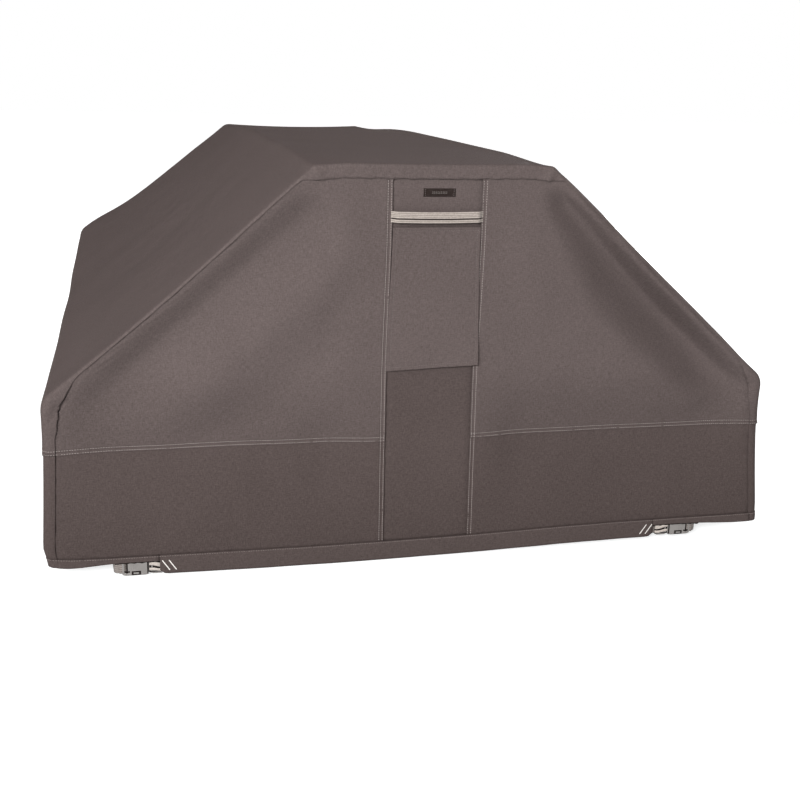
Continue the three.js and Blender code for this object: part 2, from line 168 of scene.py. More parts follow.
def settle(points):
    """Moves points of the ideal cover to where the cloth comes to rest. Seams stay together, because every
    piece goes through here."""
    p = np.asarray(points, float)
    x, y, z = p[:, 0].copy(), p[:, 1].copy(), p[:, 2].copy()
    side, end = np.sign(x), np.sign(y)
    at_end = ramp(np.abs(y), HALF_LENGTH - 0.20, HALF_LENGTH - 0.02)
    at_side = bump(HALF_WIDTH - np.abs(x), 0.0, 0.09)
    at_top = ramp(z, CROWN - 0.10, CROWN - 0.01)
    low = np.clip(1.0 - z / 0.60, 0.0, 1.0)
    dx, dy, dz = np.zeros_like(x), np.zeros_like(x), np.zeros_like(x)

    # Ends: the hem stands out a little, with the folds of the end cloth.
    on_face = ramp(np.abs(y), HALF_LENGTH - 0.035, HALF_LENGTH - 0.002)
    away = 1.0 - at_side * 0.75
    loose = ramp(np.abs(x), COLUMN_EDGE - 0.01, COLUMN_EDGE + 0.08)
    front_push = end_folds(x, z, True)
    back_push = end_folds(x, z, False)
    push = np.where(y < 0, front_push, back_push)
    push += (
        0.0028 * wander(p, (0.16, 1.0, 0.12), 1.0) * ramp(z, TOP_SEAM, TOP_SEAM - 0.08)
        * (0.35 + 0.65 * loose)
    )
    push += 0.0009 * wander(p, (0.05, 1.0, 0.045), 2.0) * (0.4 + 0.6 * loose)
    dy += end * at_end * FLARE * low**1.4
    dy += end * on_face * push * away

    # The column of panels on the front end leans a little to the right at its top.
    dx += (
        COLUMN_LEAN * (0.3 + 0.7 * ramp(z, BENCH, FLAP_HIGH.z)) * bump(x, 0.0, 0.30)
        * np.where(y < 0, on_face, 0.0)
    )

    # Crown: shallow sag between its two folds, deeper towards the back end.
    middle = np.clip(1.0 - (x / CROWN_HALF) ** 2, 0.0, 1.0)
    dz -= at_top * (0.0040 + middle * (0.0025 + 0.0035 * ramp(y, -0.3, 0.9)))
    dz += (
        at_top * 0.0022 * wander(p, (0.14, 0.30, 1.0), 3.0)
        * ramp(np.abs(y), HALF_LENGTH, HALF_LENGTH - 0.1)
    )
    dz -= ramp(z, BENCH + 0.05, CROWN) * 0.024 * ramp(y, 0.1, HALF_LENGTH)
    dz += bump(z, BENCH, 0.13) * bump(HALF_WIDTH - np.abs(x), 0.0, 0.17) * 0.040 * ramp(y, 0.0, HALF_LENGTH)

    # The shoulders are rounder at the front end.
    dz -= (
        0.0050 * bump(np.abs(x), CROWN_HALF - 0.004, 0.030) * at_top
        * ramp(-y, HALF_LENGTH - 0.30, HALF_LENGTH - 0.02)
    )

    # Slopes: they hang slightly hollow, more on the left, with long soft folds down them.
    across, along = distance_to_line(np.abs(x), z, SLOPE_START, SLOPE_END)
    on_slope = bump(across, 0.0, 0.05) * np.clip(along, 0.0, 1.0) * np.clip(1.0 - along, 0.0, 1.0) * 4.0
    hollow = (
        np.where(x < 0, 0.0095, 0.0050) * (1.0 - ramp(y, 0.0, 0.85))
        + 0.003 * wander(p, (0.6, 0.45, 0.6), 4.0)
    )
    ripple = 0.0030 * wander(p, (0.22, 0.13, 0.22), 5.0) + 0.0012 * wander(p, (0.07, 0.05, 0.07), 6.0)
    inward = on_slope * (hollow + ripple * (1.0 - 0.6 * at_end))
    dx -= side * inward * 0.66
    dz -= inward * 0.75
    dz -= 0.0055 * bump(z, BENCH + 0.04, 0.07) * ramp(x, 0.5, 0.64) * ramp(-y, 0.2, 0.8)

    # Sides: slow waves along the benches, and standing out towards the hem.
    wave = 0.0035 * wander(p, (1.0, 0.30, 0.25), 8.0)
    dx += side * at_side * wave * (1.0 - 0.8 * on_face)
    spread = np.where(x < 0, SIDE_FLARE[-1], SIDE_FLARE[1])
    dx += (
        side * spread * np.clip(1.0 - z / 0.26, 0.0, 1.0) ** 1.3
        * ramp(np.abs(x), HALF_WIDTH - 0.30, HALF_WIDTH)
    )
    corner = bump(HALF_WIDTH - np.abs(x), 0.0, 0.035) * at_end * ramp(z, 0.055, OUTER_HEM)
    dx -= side * np.where(x < 0, 0.0095, 0.0020) * corner
    dz += np.where(x < 0, 0.0055, 0.0010) * corner

    # The front hem hangs deepest left of its middle, and is drawn up on the right.
    near_hem = ramp(z, MID_SEAM, 0.0) * on_face
    dz -= 0.0062 * bump(x, -0.20, 0.42) * near_hem
    dz += 0.0042 * ramp(x, 0.02, 0.42) * near_hem * np.where(y < 0, 1.0, 0.0)
    return np.stack([x + dx, y + dy, z + dz], axis=1)


# ---------------------------------------------------------------- the section and its lips


def rounded_section():
    """Half of the section, from the middle of the crown down the right side to the floor, as points and
    outward normals."""
    turn = math.atan2(CROWN - BENCH, HALF_WIDTH - CROWN_HALF)
    crown_cut = CROWN_RADIUS * math.tan(turn / 2)
    bench_cut = BENCH_RADIUS * math.tan((math.pi / 2 - turn) / 2)
    points, normals = [], []

    def add_line(start, end, normal, step):
        count = max(2, round(math.dist(start, end) / step))
        for k in range(count):
            t = k / count
            points.append((start[0] + (end[0] - start[0]) * t, start[1] + (end[1] - start[1]) * t))
            normals.append(normal)

    def add_arc(centre, radius, first, last, count):
        for k in range(count):
            a = first + (last - first) * k / count
            points.append((centre[0] + radius * math.cos(a), centre[1] + radius * math.sin(a)))
            normals.append((math.cos(a), math.sin(a)))

    slope = (math.sin(turn), math.cos(turn))
    crown_centre = (CROWN_HALF - crown_cut, CROWN - CROWN_RADIUS)
    bench_centre = (HALF_WIDTH - BENCH_RADIUS, BENCH - bench_cut)
    add_line((0.0, CROWN), (crown_centre[0], CROWN), (0.0, 1.0), 0.011)
    add_arc(crown_centre, CROWN_RADIUS, math.pi / 2, math.pi / 2 - turn, 7)
    start = (crown_centre[0] + CROWN_RADIUS * slope[0], crown_centre[1] + CROWN_RADIUS * slope[1])
    end = (bench_centre[0] + BENCH_RADIUS * slope[0], bench_centre[1] + BENCH_RADIUS * slope[1])
    add_line(start, end, slope, 0.011)
    add_arc(bench_centre, BENCH_RADIUS, math.pi / 2 - turn, 0.0, 9)
    add_line((HALF_WIDTH, bench_centre[1]), (HALF_WIDTH, MID_SEAM), (1.0, 0.0), 0.008)
    points.append((HALF_WIDTH, MID_SEAM))
    normals.append((1.0, 0.0))
    return np.array(points), np.array(normals)


SECTION, SECTION_NORMAL = rounded_section()
SECTION_RUN = np.concatenate([[0.0], np.cumsum(np.linalg.norm(np.diff(SECTION, axis=0), axis=1))])


def lip_width(x, z, upward):
    """How far the main panel folds on to an end: down to one level seam under the crown, narrow on the
    slopes, deepest round the bench."""
    crown = (z - TOP_SEAM) / np.maximum(upward, 0.2)
    round_bench = ramp(z, 0.374, 0.322) * (0.0275 - 0.0075 * ramp(z, 0.300, 0.235) - SLOPE_LIP)
    return np.maximum(crown, SLOPE_LIP + round_bench * ramp(x, 0.45, 0.55))


RIDGE_RUN = CROWN_HALF - 0.002
LIP = lip_width(SECTION[:, 0], SECTION[:, 1], SECTION_NORMAL[:, 1])
LIP_EDGE = SECTION - SECTION_NORMAL * LIP[:, None]
# The end cloth runs on under the lip by this much.
UNDERLAP = np.minimum(0.8 * LIP, 0.011)


def stations(start, end, step, fine_start=False, fine_end=False):
    """Places from start to end, close together beside a seam and step apart elsewhere."""
    close = [0.0, 0.0012, 0.0024, 0.0040, 0.0055, 0.0070, 0.0086, 0.0102, 0.0130, 0.0170]
    length = abs(end - start)
    head = [c for c in close if c < length / 2] if fine_start else [0.0]
    tail = [length - c for c in reversed(close) if c < length / 2] if fine_end else [length]
    gap = tail[0] - head[-1]
    count = max(1, round(gap / step))
    between = [head[-1] + gap * k / count for k in range(1, count)]
    return start + math.copysign(1.0, end - start) * np.array(head + between + tail)


# ---------------------------------------------------------------- making cloth


def cloth_piece(name, places, normals, rise, uv, material, thickness=CLOTH, free=False, crisp=False):
    """A sheet of cloth from a grid: places and normals are (rows, columns, 3), rise is how far each point
    stands off. A crisp one has its thickness built in, with square edges."""
    rows, columns = places.shape[:2]
    build = bmesh.new()
    bmesh.ops.create_grid(build, x_segments=columns - 1, y_segments=rows - 1, size=1.0)
    flat = places.reshape(-1, 3)
    rest = flat if free else settle(flat)
    rest = rest + normals.reshape(-1, 3) * np.broadcast_to(rise, (rows, columns)).reshape(-1, 1)
    order = sorted(build.verts, key=lambda v: (round(v.co.y, 6), round(v.co.x, 6)))
    for vert, place in zip(order, rest):
        vert.co = place
    layer = build.loops.layers.uv.new("Cloth")
    spot = {vert: uv.reshape(-1, 2)[k] for k, vert in enumerate(order)}
    for face in build.faces:
        face.smooth = True
        for loop in face.loops:
            loop[layer].uv = spot[loop.vert]
    build.normal_update()
    wanted = dict(zip(order, normals.reshape(-1, 3)))
    agree = sum(v.normal.dot(Vector(wanted[v])) for v in order[:: max(1, len(order) // 400)])
    if agree < 0:
        bmesh.ops.reverse_faces(build, faces=build.faces[:])
    if crisp:
        bmesh.ops.solidify(build, geom=build.faces[:], thickness=thickness)
    mesh = bpy.data.meshes.new(name)
    build.to_mesh(mesh)
    build.free()
    piece = bpy.data.objects.new(name, mesh)
    bpy.context.scene.collection.objects.link(piece)
    mesh.materials.append(material)
    if crisp:
        mesh.set_sharp_from_angle(angle=math.radians(55))
        return piece
    wall = piece.modifiers.new("Cloth thickness", "SOLIDIFY")
    wall.thickness = thickness
    wall.offset = -1.0
    wall.use_even_offset = False
    return piece


def seam_roll(distance):
    """The relief of a double-stitched edge: pressed down at each thread row and raised between and beside
    them."""
    first, second = STITCH_ROWS
    pressed = bump(distance, first, 0.0011) + bump(distance, second, 0.0011)
    groove = bump(distance, (first + second) / 2, 0.0009)
    return (
        0.0006 * bump(distance, 0.0008, 0.0010) - 0.0003 * pressed - 0.0013 * groove
        + 0.0005 * bump(distance, 0.012, 0.003)
    )


def pucker(distance, run, seed, size=0.0009):
    """Small gathers across a seam, which die out within 20 mm of it."""
    gathers = np.sin(run * (2 * math.pi / 0.0125) + 2.2 * np.sin(run * 31.0 + seed) + seed)
    gathers += 0.6 * np.sin(run * (2 * math.pi / 0.031) + 1.7 * seed)
    return size * gathers * np.exp(-distance / 0.011)


# ---------------------------------------------------------------- thread, stitch by stitch

STITCH_LENGTH = 0.0036
STITCH_PITCH = 0.0044
STITCH_LIFT = 0.00015


def stitch_mesh(length, radius):
    """One thread stitch along X, thick in its middle and dipping into the cloth at its ends."""
    build = bmesh.new()
    bmesh.ops.create_uvsphere(build, u_segments=6, v_segments=4, radius=1.0)
    bmesh.ops.rotate(build, verts=build.verts, cent=(0, 0, 0), matrix=Matrix.Rotation(math.pi / 2, 3, "Y"))
    bmesh.ops.scale(build, verts=build.verts, vec=(length / 2, radius, radius * 0.8))
    for face in build.faces:
        face.smooth = True
    mesh = bpy.data.meshes.new("one stitch")
    build.to_mesh(mesh)
    build.free()
    return mesh


def sewn_along(build, stitch, line, normals, pitch, turn):
    """Sews stitches along a line of points that lie on the cloth."""
    steps = np.linalg.norm(np.diff(line, axis=0), axis=1)
    run = np.concatenate([[0.0], np.cumsum(steps)])
    count = int(run[-1] / pitch)
    spots = (np.arange(count) + 0.5) * run[-1] / max(count, 1)
    centres = np.stack([np.interp(spots, run, line[:, k]) for k in range(3)], axis=1)
    ahead = np.stack([np.interp(spots + pitch * 0.4, run, line[:, k]) for k in range(3)], axis=1)
    behind = np.stack([np.interp(spots - pitch * 0.4, run, line[:, k]) for k in range(3)], axis=1)
    out = np.stack([np.interp(spots, run, normals[:, k]) for k in range(3)], axis=1)
    for centre, a, b, n in zip(centres, ahead, behind, out):
        along = Vector(a - b).normalized()
        up = Vector(n).normalized()
        across = up.cross(along).normalized()
        up = along.cross(across).normalized()
        basis = Matrix((along, across, up)).transposed()
        if turn:
            basis = basis @ Matrix.Rotation(turn, 3, "Z")
        place = Matrix.Translation(Vector(centre) + up * STITCH_LIFT) @ basis.to_4x4()
        before = len(build.verts)
        build.from_mesh(stitch)
        build.verts.ensure_lookup_table()
        bmesh.ops.transform(build, matrix=place, verts=build.verts[before:])


def thread_piece(name, rows, material, length=STITCH_LENGTH, radius=0.00062, pitch=STITCH_PITCH, turn=0.0):
    """One object of stitches; rows is a list of (line, normals)."""
    stitch = stitch_mesh(length, radius)
    whole = bmesh.new()
    for line, normals in rows:
        part = bmesh.new()
        sewn_along(part, stitch, line, normals, pitch, turn)
        mesh = bpy.data.meshes.new("row")
        part.to_mesh(mesh)
        part.free()
        whole.from_mesh(mesh)
        bpy.data.meshes.remove(mesh)
    bpy.data.meshes.remove(stitch)
    return finished(name, whole, material)


def finished(name, build, material, smooth=True):
    """Turns a bmesh into a linked object."""
    mesh = bpy.data.meshes.new(name)
    if smooth:
        for face in build.faces:
            face.smooth = True
    build.to_mesh(mesh)
    build.free()
    piece = bpy.data.objects.new(name, mesh)
    bpy.context.scene.collection.objects.link(piece)
    mesh.materials.append(material)
    return piece


# ---------------------------------------------------------------- materials


def group_with(name, inputs, outputs):
    tree = bpy.data.node_groups.new(name, "ShaderNodeTree")
    for label, kind, value in inputs:
        socket = tree.interface.new_socket(label, in_out="INPUT", socket_type=kind)
        if value is not None:
            socket.default_value = value
    for label, kind in outputs:
        tree.interface.new_socket(label, in_out="OUTPUT", socket_type=kind)
    return tree, tree.nodes.new("NodeGroupInput"), tree.nodes.new("NodeGroupOutput")


def math_node(tree, operation, first, second=None):
    node = tree.nodes.new("ShaderNodeMath")
    node.operation = operation
    for k, value in enumerate((first, second)):
        if value is None:
            continue
        if isinstance(value, (int, float)):
            node.inputs[k].default_value = value
        else:
            tree.links.new(value, node.inputs[k])
    return node.outputs[0]


def make_weave_group():
    """Plain oxford weave from a flat cloth position in metres: thread height, and a light and dark tone."""
    tree, start, end = group_with(
        "oxford weave",
        [("Cloth", "NodeSocketVector", None), ("Threads per metre", "NodeSocketFloat", 1500.0)],
        [("Height", "NodeSocketFloat"), ("Tone", "NodeSocketFloat"), ("Slub", "NodeSocketFloat")],
    )
    split = tree.nodes.new("ShaderNodeSeparateXYZ")
    tree.links.new(start.outputs["Cloth"], split.inputs[0])
    # Thicker and thinner yarns run both ways through the cloth.
    streaks = []
    for scale in ((560.0, 120.0, 1.0), (120.0, 560.0, 1.0)):
        stretch = tree.nodes.new("ShaderNodeMapping")
        stretch.inputs["Scale"].default_value = scale
        yarn = tree.nodes.new("ShaderNodeTexNoise")
        yarn.inputs["Scale"].default_value = 1.0
        yarn.inputs["Detail"].default_value = 2.0
        yarn.inputs["Roughness"].default_value = 0.65
        tree.links.new(start.outputs["Cloth"], stretch.inputs["Vector"])
        tree.links.new(stretch.outputs["Vector"], yarn.inputs["Vector"])
        streaks.append(yarn.outputs["Fac"])
    tree.links.new(math_node(tree, "ADD", streaks[0], streaks[1]), end.inputs["Slub"])
    warp = math_node(tree, "MULTIPLY", split.outputs["X"], start.outputs["Threads per metre"])
    weft = math_node(tree, "MULTIPLY", split.outputs["Y"], start.outputs["Threads per metre"])
    warp_round = math_node(
        tree, "ABSOLUTE", math_node(tree, "SINE", math_node(tree, "MULTIPLY", warp, math.pi))
    )
    weft_round = math_node(
        tree, "ABSOLUTE", math_node(tree, "SINE", math_node(tree, "MULTIPLY", weft, math.pi))
    )
    cells = math_node(tree, "ADD", math_node(tree, "FLOOR", warp), math_node(tree, "FLOOR", weft))
    over = math_node(tree, "PINGPONG", cells, 1.0)
    under = math_node(tree, "SUBTRACT", 1.0, over)
    height = math_node(
        tree,
        "ADD",
        math_node(tree, "MULTIPLY", warp_round, over),
        math_node(tree, "MULTIPLY", weft_round, under),
    )
    tree.links.new(height, end.inputs["Height"])
    tone = math_node(
        tree, "ADD", math_node(tree, "MULTIPLY", over, 0.35), math_node(tree, "MULTIPLY", height, 0.65)
    )
    tree.links.new(tone, end.inputs["Tone"])
    return tree


def make_variation_group():
    """Slow colour drift, fine flecks and soft creases, from the place on the object."""
    tree, start, end = group_with(
        "cloth variation",
        [("Place", "NodeSocketVector", None), ("Patch size", "NodeSocketFloat", 5.0)],
        [("Drift", "NodeSocketFloat"), ("Fleck", "NodeSocketFloat"), ("Crease", "NodeSocketFloat")],
    )
    drift = tree.nodes.new("ShaderNodeTexNoise")
    drift.inputs["Detail"].default_value = 4.0
    drift.inputs["Roughness"].default_value = 0.55
    tree.links.new(start.outputs["Place"], drift.inputs["Vector"])
    tree.links.new(start.outputs["Patch size"], drift.inputs["Scale"])
    tree.links.new(drift.outputs["Fac"], end.inputs["Drift"])
    fleck = tree.nodes.new("ShaderNodeTexNoise")
    fleck.inputs["Scale"].default_value = 400.0
    fleck.inputs["Detail"].default_value = 2.0
    tree.links.new(start.outputs["Place"], fleck.inputs["Vector"])
    tree.links.new(fleck.outputs["Fac"], end.inputs["Fleck"])
    crease = tree.nodes.new("ShaderNodeTexNoise")
    crease.inputs["Scale"].default_value = 26.0
    crease.inputs["Detail"].default_value = 5.0
    crease.inputs["Roughness"].default_value = 0.6
    crease.inputs["Distortion"].default_value = 0.8
    tree.links.new(start.outputs["Place"], crease.inputs["Vector"])
    tree.links.new(crease.outputs["Fac"], end.inputs["Crease"])
    return tree


def blended(tree, factor, low, high):
    """A colour between two, by a value from 0 to 1."""
    node = tree.nodes.new("ShaderNodeMix")
    node.data_type = "RGBA"
    node.inputs["A"].default_value = (*low, 1.0)
    node.inputs["B"].default_value = (*high, 1.0)
    tree.links.new(factor, node.inputs["Factor"])
    return node.outputs["Result"]


def between(tree, value, low, high):
    """Maps 0 to 1 on to low to high."""
    node = tree.nodes.new("ShaderNodeMapRange")
    node.inputs["To Min"].default_value = low
    node.inputs["To Max"].default_value = high
    tree.links.new(value, node.inputs["Value"])
    return node.outputs["Result"]


def bumped(tree, height, distance, strength, onto=None):
    node = tree.nodes.new("ShaderNodeBump")
    node.inputs["Strength"].default_value = strength
    node.inputs["Distance"].default_value = distance
    tree.links.new(height, node.inputs["Height"])
    if onto is not None:
        tree.links.new(onto, node.inputs["Normal"])
    return node.outputs["Normal"]


def new_material(name):
    material = bpy.data.materials.new(name)
    material.use_nodes = True
    tree = material.node_tree
    shader = tree.nodes["Principled BSDF"]
    return material, tree, shader


def placed_group(tree, group, **values):
    node = tree.nodes.new("ShaderNodeGroup")
    node.node_tree = group
    for label, value in values.items():
        node.inputs[label.replace("_", " ")].default_value = value
    return node


def cloth_material(name, dark, light, threads, weave_depth, painted_shade_by_height=None):
    """Coated oxford cloth: woven threads, slow colour drift and small soft creases.

    The last argument, if given, is (low height, high height, tone added at the low one, tone added at the
    high one):
    painted shade, a slow change of tone up the cloth that stands in for how its shading changes with height."""
    material, tree, shader = new_material(name)
    coordinates = tree.nodes.new("ShaderNodeTexCoord")
    weave = placed_group(tree, WEAVE, Threads_per_metre=threads)
    variation = placed_group(tree, VARIATION)
    tree.links.new(coordinates.outputs["UV"], weave.inputs["Cloth"])
    tree.links.new(coordinates.outputs["Object"], variation.inputs["Place"])
    slow = math_node(tree, "MULTIPLY", variation.outputs["Drift"], 0.40)
    fine = math_node(tree, "MULTIPLY", variation.outputs["Fleck"], 0.85)
    thread = math_node(tree, "MULTIPLY", weave.outputs["Tone"], 0.20)
    slub = math_node(tree, "MULTIPLY", weave.outputs["Slub"], 1.05)
    tone = math_node(tree, "ADD", math_node(tree, "ADD", slow, fine), math_node(tree, "ADD", thread, slub))
    tone = math_node(tree, "SUBTRACT", tone, 1.275)
    # Painted shade: the tone shifts with height, standing in for the shading near the mid seam and towards
    # the hem.
    if painted_shade_by_height:
        split = tree.nodes.new("ShaderNodeSeparateXYZ")
        tree.links.new(coordinates.outputs["Object"], split.inputs[0])
        added = tree.nodes.new("ShaderNodeMapRange")
        for label, value in zip(("From Min", "From Max", "To Min", "To Max"), painted_shade_by_height):
            added.inputs[label].default_value = value
        tree.links.new(split.outputs["Z"], added.inputs["Value"])
        tone = math_node(tree, "ADD", tone, added.outputs["Result"])
    tree.links.new(blended(tree, tone, dark, light), shader.inputs["Base Color"])
    tree.links.new(between(tree, variation.outputs["Drift"], 0.74, 0.9), shader.inputs["Roughness"])
    creased = bumped(tree, variation.outputs["Crease"], 0.006, 0.22)
    woven = bumped(tree, weave.outputs["Height"], weave_depth, 0.55, creased)
    tree.links.new(woven, shader.inputs["Normal"])
    shader.inputs["Sheen Weight"].default_value = 0.02
    shader.inputs["Sheen Roughness"].default_value = 0.55
    shader.inputs["Sheen Tint"].default_value = (0.55, 0.40, 0.37, 1.0)
    shader.inputs["Specular IOR Level"].default_value = 0.02
    return material


def webbing_material(name, dark, light, ribs, width):
    """Woven webbing: ribs along its length and cross ribs between them, coloured darker down in the grooves,
    partly as the weave's own pattern and partly as painted shade.
    """
    material, tree, shader = new_material(name)
    coordinates = tree.nodes.new("ShaderNodeTexCoord")
    split = tree.nodes.new("ShaderNodeSeparateXYZ")
    tree.links.new(coordinates.outputs["UV"], split.inputs[0])
    rib = math_node(tree, "MULTIPLY", split.outputs["Y"], ribs * math.pi / width)
    rib = math_node(tree, "ABSOLUTE", math_node(tree, "SINE", rib))
    cross = math_node(tree, "MULTIPLY", split.outputs["X"], math.pi * 900.0)
    cross = math_node(tree, "ABSOLUTE", math_node(tree, "SINE", cross))
    variation = placed_group(tree, VARIATION, Patch_size=30.0)
    tree.links.new(coordinates.outputs["Object"], variation.inputs["Place"])
    height = math_node(
        tree, "ADD", math_node(tree, "MULTIPLY", rib, 0.7), math_node(tree, "MULTIPLY", cross, 0.3)
    )
    # Painted shade in part: the colour follows the rib height and is darkest in the grooves between ribs.
    tone = math_node(tree, "MULTIPLY", height, math_node(tree, "ADD", variation.outputs["Fleck"], 0.45))
    tree.links.new(blended(tree, tone, dark, light), shader.inputs["Base Color"])
    tree.links.new(between(tree, variation.outputs["Drift"], 0.62, 0.82), shader.inputs["Roughness"])
    tree.links.new(bumped(tree, height, 0.0006, 0.8), shader.inputs["Normal"])
    shader.inputs["Sheen Weight"].default_value = 0.12
    return material


def thread_material(name, dark, light):
    material, tree, shader = new_material(name)
    coordinates = tree.nodes.new("ShaderNodeTexCoord")
    variation = placed_group(tree, VARIATION, Patch_size=60.0)
    tree.links.new(coordinates.outputs["Object"], variation.inputs["Place"])
    tree.links.new(blended(tree, variation.outputs["Drift"], dark, light), shader.inputs["Base Color"])
    tree.links.new(between(tree, variation.outputs["Fleck"], 0.45, 0.75), shader.inputs["Roughness"])
    tree.links.new(bumped(tree, variation.outputs["Fleck"], 0.0003, 0.6), shader.inputs["Normal"])
    return material


def resin_material(name, dark, light):
    """Moulded resin: fine spark-eroded grain, a soft gloss, and paler rubbed patches."""
    material, tree, shader = new_material(name)
    coordinates = tree.nodes.new("ShaderNodeTexCoord")
    variation = placed_group(tree, VARIATION, Patch_size=45.0)
    grain = tree.nodes.new("ShaderNodeTexNoise")
    grain.inputs["Scale"].default_value = 2200.0
    grain.inputs["Detail"].default_value = 2.0
    tree.links.new(coordinates.outputs["Object"], variation.inputs["Place"])
    tree.links.new(coordinates.outputs["Object"], grain.inputs["Vector"])
    tree.links.new(blended(tree, variation.outputs["Drift"], dark, light), shader.inputs["Base Color"])
    tree.links.new(between(tree, variation.outputs["Crease"], 0.28, 0.5), shader.inputs["Roughness"])
    tree.links.new(bumped(tree, grain.outputs["Fac"], 0.0003, 0.35), shader.inputs["Normal"])
    return material


WEAVE = make_weave_group()
VARIATION = make_variation_group()
# Painted shade on both cloths: the upper one darkens from 0.36 m down to the mid seam, and the lower one from
# the mid seam down to the hem.
TAUPE = cloth_material(
    "taupe oxford", (0.074, 0.0585, 0.0555), (0.134, 0.1075, 0.1035), 1500.0, 0.0005,
    painted_shade_by_height=(0.21, 0.36, -0.25, 0.0),
)
TAUPE_LOW = cloth_material(
    "darker taupe oxford", (0.051, 0.0390, 0.0364), (0.0925, 0.0723, 0.0686), 1500.0, 0.0005,
    painted_shade_by_height=(0.04, 0.21, -0.08, 0.16),
)
HEM_CLOTH_LOOK = cloth_material(
    "hem binding", (0.053, 0.0410, 0.0385), (0.096, 0.0755, 0.0715), 1900.0, 0.0004
)
LABEL_LOOK = cloth_material("woven label", (0.014, 0.010, 0.009), (0.036, 0.027, 0.025), 3600.0, 0.0002)
LABEL_MOTIF = thread_material("label motif thread", (0.16, 0.14, 0.13), (0.26, 0.23, 0.21))
MESH_LOOK = thread_material("vent mesh yarn", (0.018, 0.015, 0.014), (0.045, 0.038, 0.035))
PALE_THREAD = thread_material("pale topstitch", (0.21, 0.180, 0.168), (0.34, 0.298, 0.280))
# Painted shadow: near-black cloth for strips that stand in for shade, under the hems over the buckles and on
# the buckles' faces.
PAINTED_SHADOW = cloth_material("painted shadow cloth", (0.010, 0.008, 0.0075), (0.026, 0.021, 0.019), 1900.0, 0.0004)
DULL_THREAD = thread_material("hem thread", (0.145, 0.118, 0.110), (0.215, 0.180, 0.168))
TAUPE_THREAD = thread_material("taupe thread", (0.088, 0.070, 0.065), (0.140, 0.113, 0.107))
WHITE_THREAD = thread_material("bartack thread", (0.60, 0.57, 0.54), (0.80, 0.77, 0.74))
HANDLE_LOOK = webbing_material(
    "beige handle webbing", (0.085, 0.072, 0.064), (0.43, 0.375, 0.335), 4.0, 0.0122
)
FOLD_LOOK = webbing_material("pale strap webbing", (0.15, 0.130, 0.118), (0.66, 0.585, 0.53), 3.0, 0.007)
STRAP_LOOK = webbing_material("strap webbing", (0.060, 0.050, 0.045), (0.27, 0.235, 0.215), 6.0, 0.025)
RESIN = resin_material("grey buckle resin", (0.155, 0.146, 0.138), (0.245, 0.232, 0.222))


# ---------------------------------------------------------------- the camera, light and floor


CAMERA_PLACE = (-0.515, -2.867, 0.875)
CAMERA_LENS = 51.3
CAMERA_YAW, CAMERA_PITCH, CAMERA_ROLL = (math.radians(a) for a in (-13.38, 90 - 16.06, 1.58))
WARM_LIGHT = (1.0, 0.955, 0.95)
WHITE = (1.0, 1.0, 1.0)
FLOOR_LEVEL = -0.012


def make_camera():
    data = bpy.data.cameras.new("Camera")
    data.lens = CAMERA_LENS
    data.sensor_width = 36.0
    camera = bpy.data.objects.new("Camera", data)
    bpy.context.scene.collection.objects.link(camera)
    turn = Matrix.Rotation(CAMERA_YAW, 4, "Z") @ Matrix.Rotation(CAMERA_PITCH, 4, "X")
    roll = Matrix.Rotation(CAMERA_ROLL, 4, "Z")
    camera.matrix_world = Matrix.Translation(CAMERA_PLACE) @ turn @ roll
    bpy.context.scene.camera = camera


def area_light(name, place, target, size, power):
    data = bpy.data.lights.new(name, "AREA")
    data.shape = "RECTANGLE"
    data.size, data.size_y = size
    data.energy = power
    lamp = bpy.data.objects.new(name, data)
    lamp.location = place
    lamp.rotation_euler = (Vector(target) - Vector(place)).to_track_quat("-Z", "Y").to_euler()
    bpy.context.scene.collection.objects.link(lamp)


def make_studio():
    """Slightly warm light all round, a large soft key low on the left, a low fill behind, and a floor and
    background that the camera sees as near white."""
    world = bpy.data.worlds.new("Studio")
    world.use_nodes = True
    tree = world.node_tree
    seen = tree.nodes.new("ShaderNodeLightPath").outputs["Is Camera Ray"]
    tree.links.new(blended(tree, seen, WARM_LIGHT, WHITE), tree.nodes["Background"].inputs["Color"])
    tree.links.new(between(tree, seen, 0.50, 1.0), tree.nodes["Background"].inputs["Strength"])
    scene = bpy.context.scene
    scene.world = world
    scene.view_settings.view_transform = "Standard"
    area_light("Key", (-3.1, -6.3, 2.6), (0.1, 0.0, 0.35), (2.4, 1.85), 545.0)
    area_light("Fill", (3.2, 3.6, 1.1), (0.0, 0.0, 0.35), (2.0, 1.2), 190.0)
    build = bmesh.new()
    bmesh.ops.create_grid(build, x_segments=2, y_segments=2, size=20.0)
    bmesh.ops.translate(build, verts=build.verts, vec=(0.0, 0.0, FLOOR_LEVEL))
    material, tree, shader = new_material("studio floor")
    shader.inputs["Base Color"].default_value = (0.74, 0.760, 0.762, 1.0)
    shader.inputs["Roughness"].default_value = 0.9
    shader.inputs["Specular IOR Level"].default_value = 0.1
    shader.inputs["Emission Color"].default_value = (1.0, 1.0, 1.0, 1.0)
    seen = tree.nodes.new("ShaderNodeLightPath").outputs["Is Camera Ray"]
    tree.links.new(between(tree, seen, 0.0, 0.68), shader.inputs["Emission Strength"])
    floor = finished("Floor", build, material, smooth=False)


make_camera()
make_studio()

# ---------------------------------------------------------------- the main panel


def length_stations():
    """Places along the cover for the main panel and the sides, as (part, value): front lip, front bend,
    run, back bend, back lip."""
    lip = [("lip", t) for t in (1.0, 0.8, 0.5, 0.2)]
    bend = [("bend", k / 6) for k in range(6, 0, -1)]
    count = 150
    run = [("run", k / count) for k in range(count + 1)]
    front = [(part, value, -1) for part, value in lip + bend]
    back = [(part, value, 1) for part, value in reversed(lip + bend)]
    return front + [(part, value, 0) for part, value in run] + back


LENGTHWISE = length_stations()


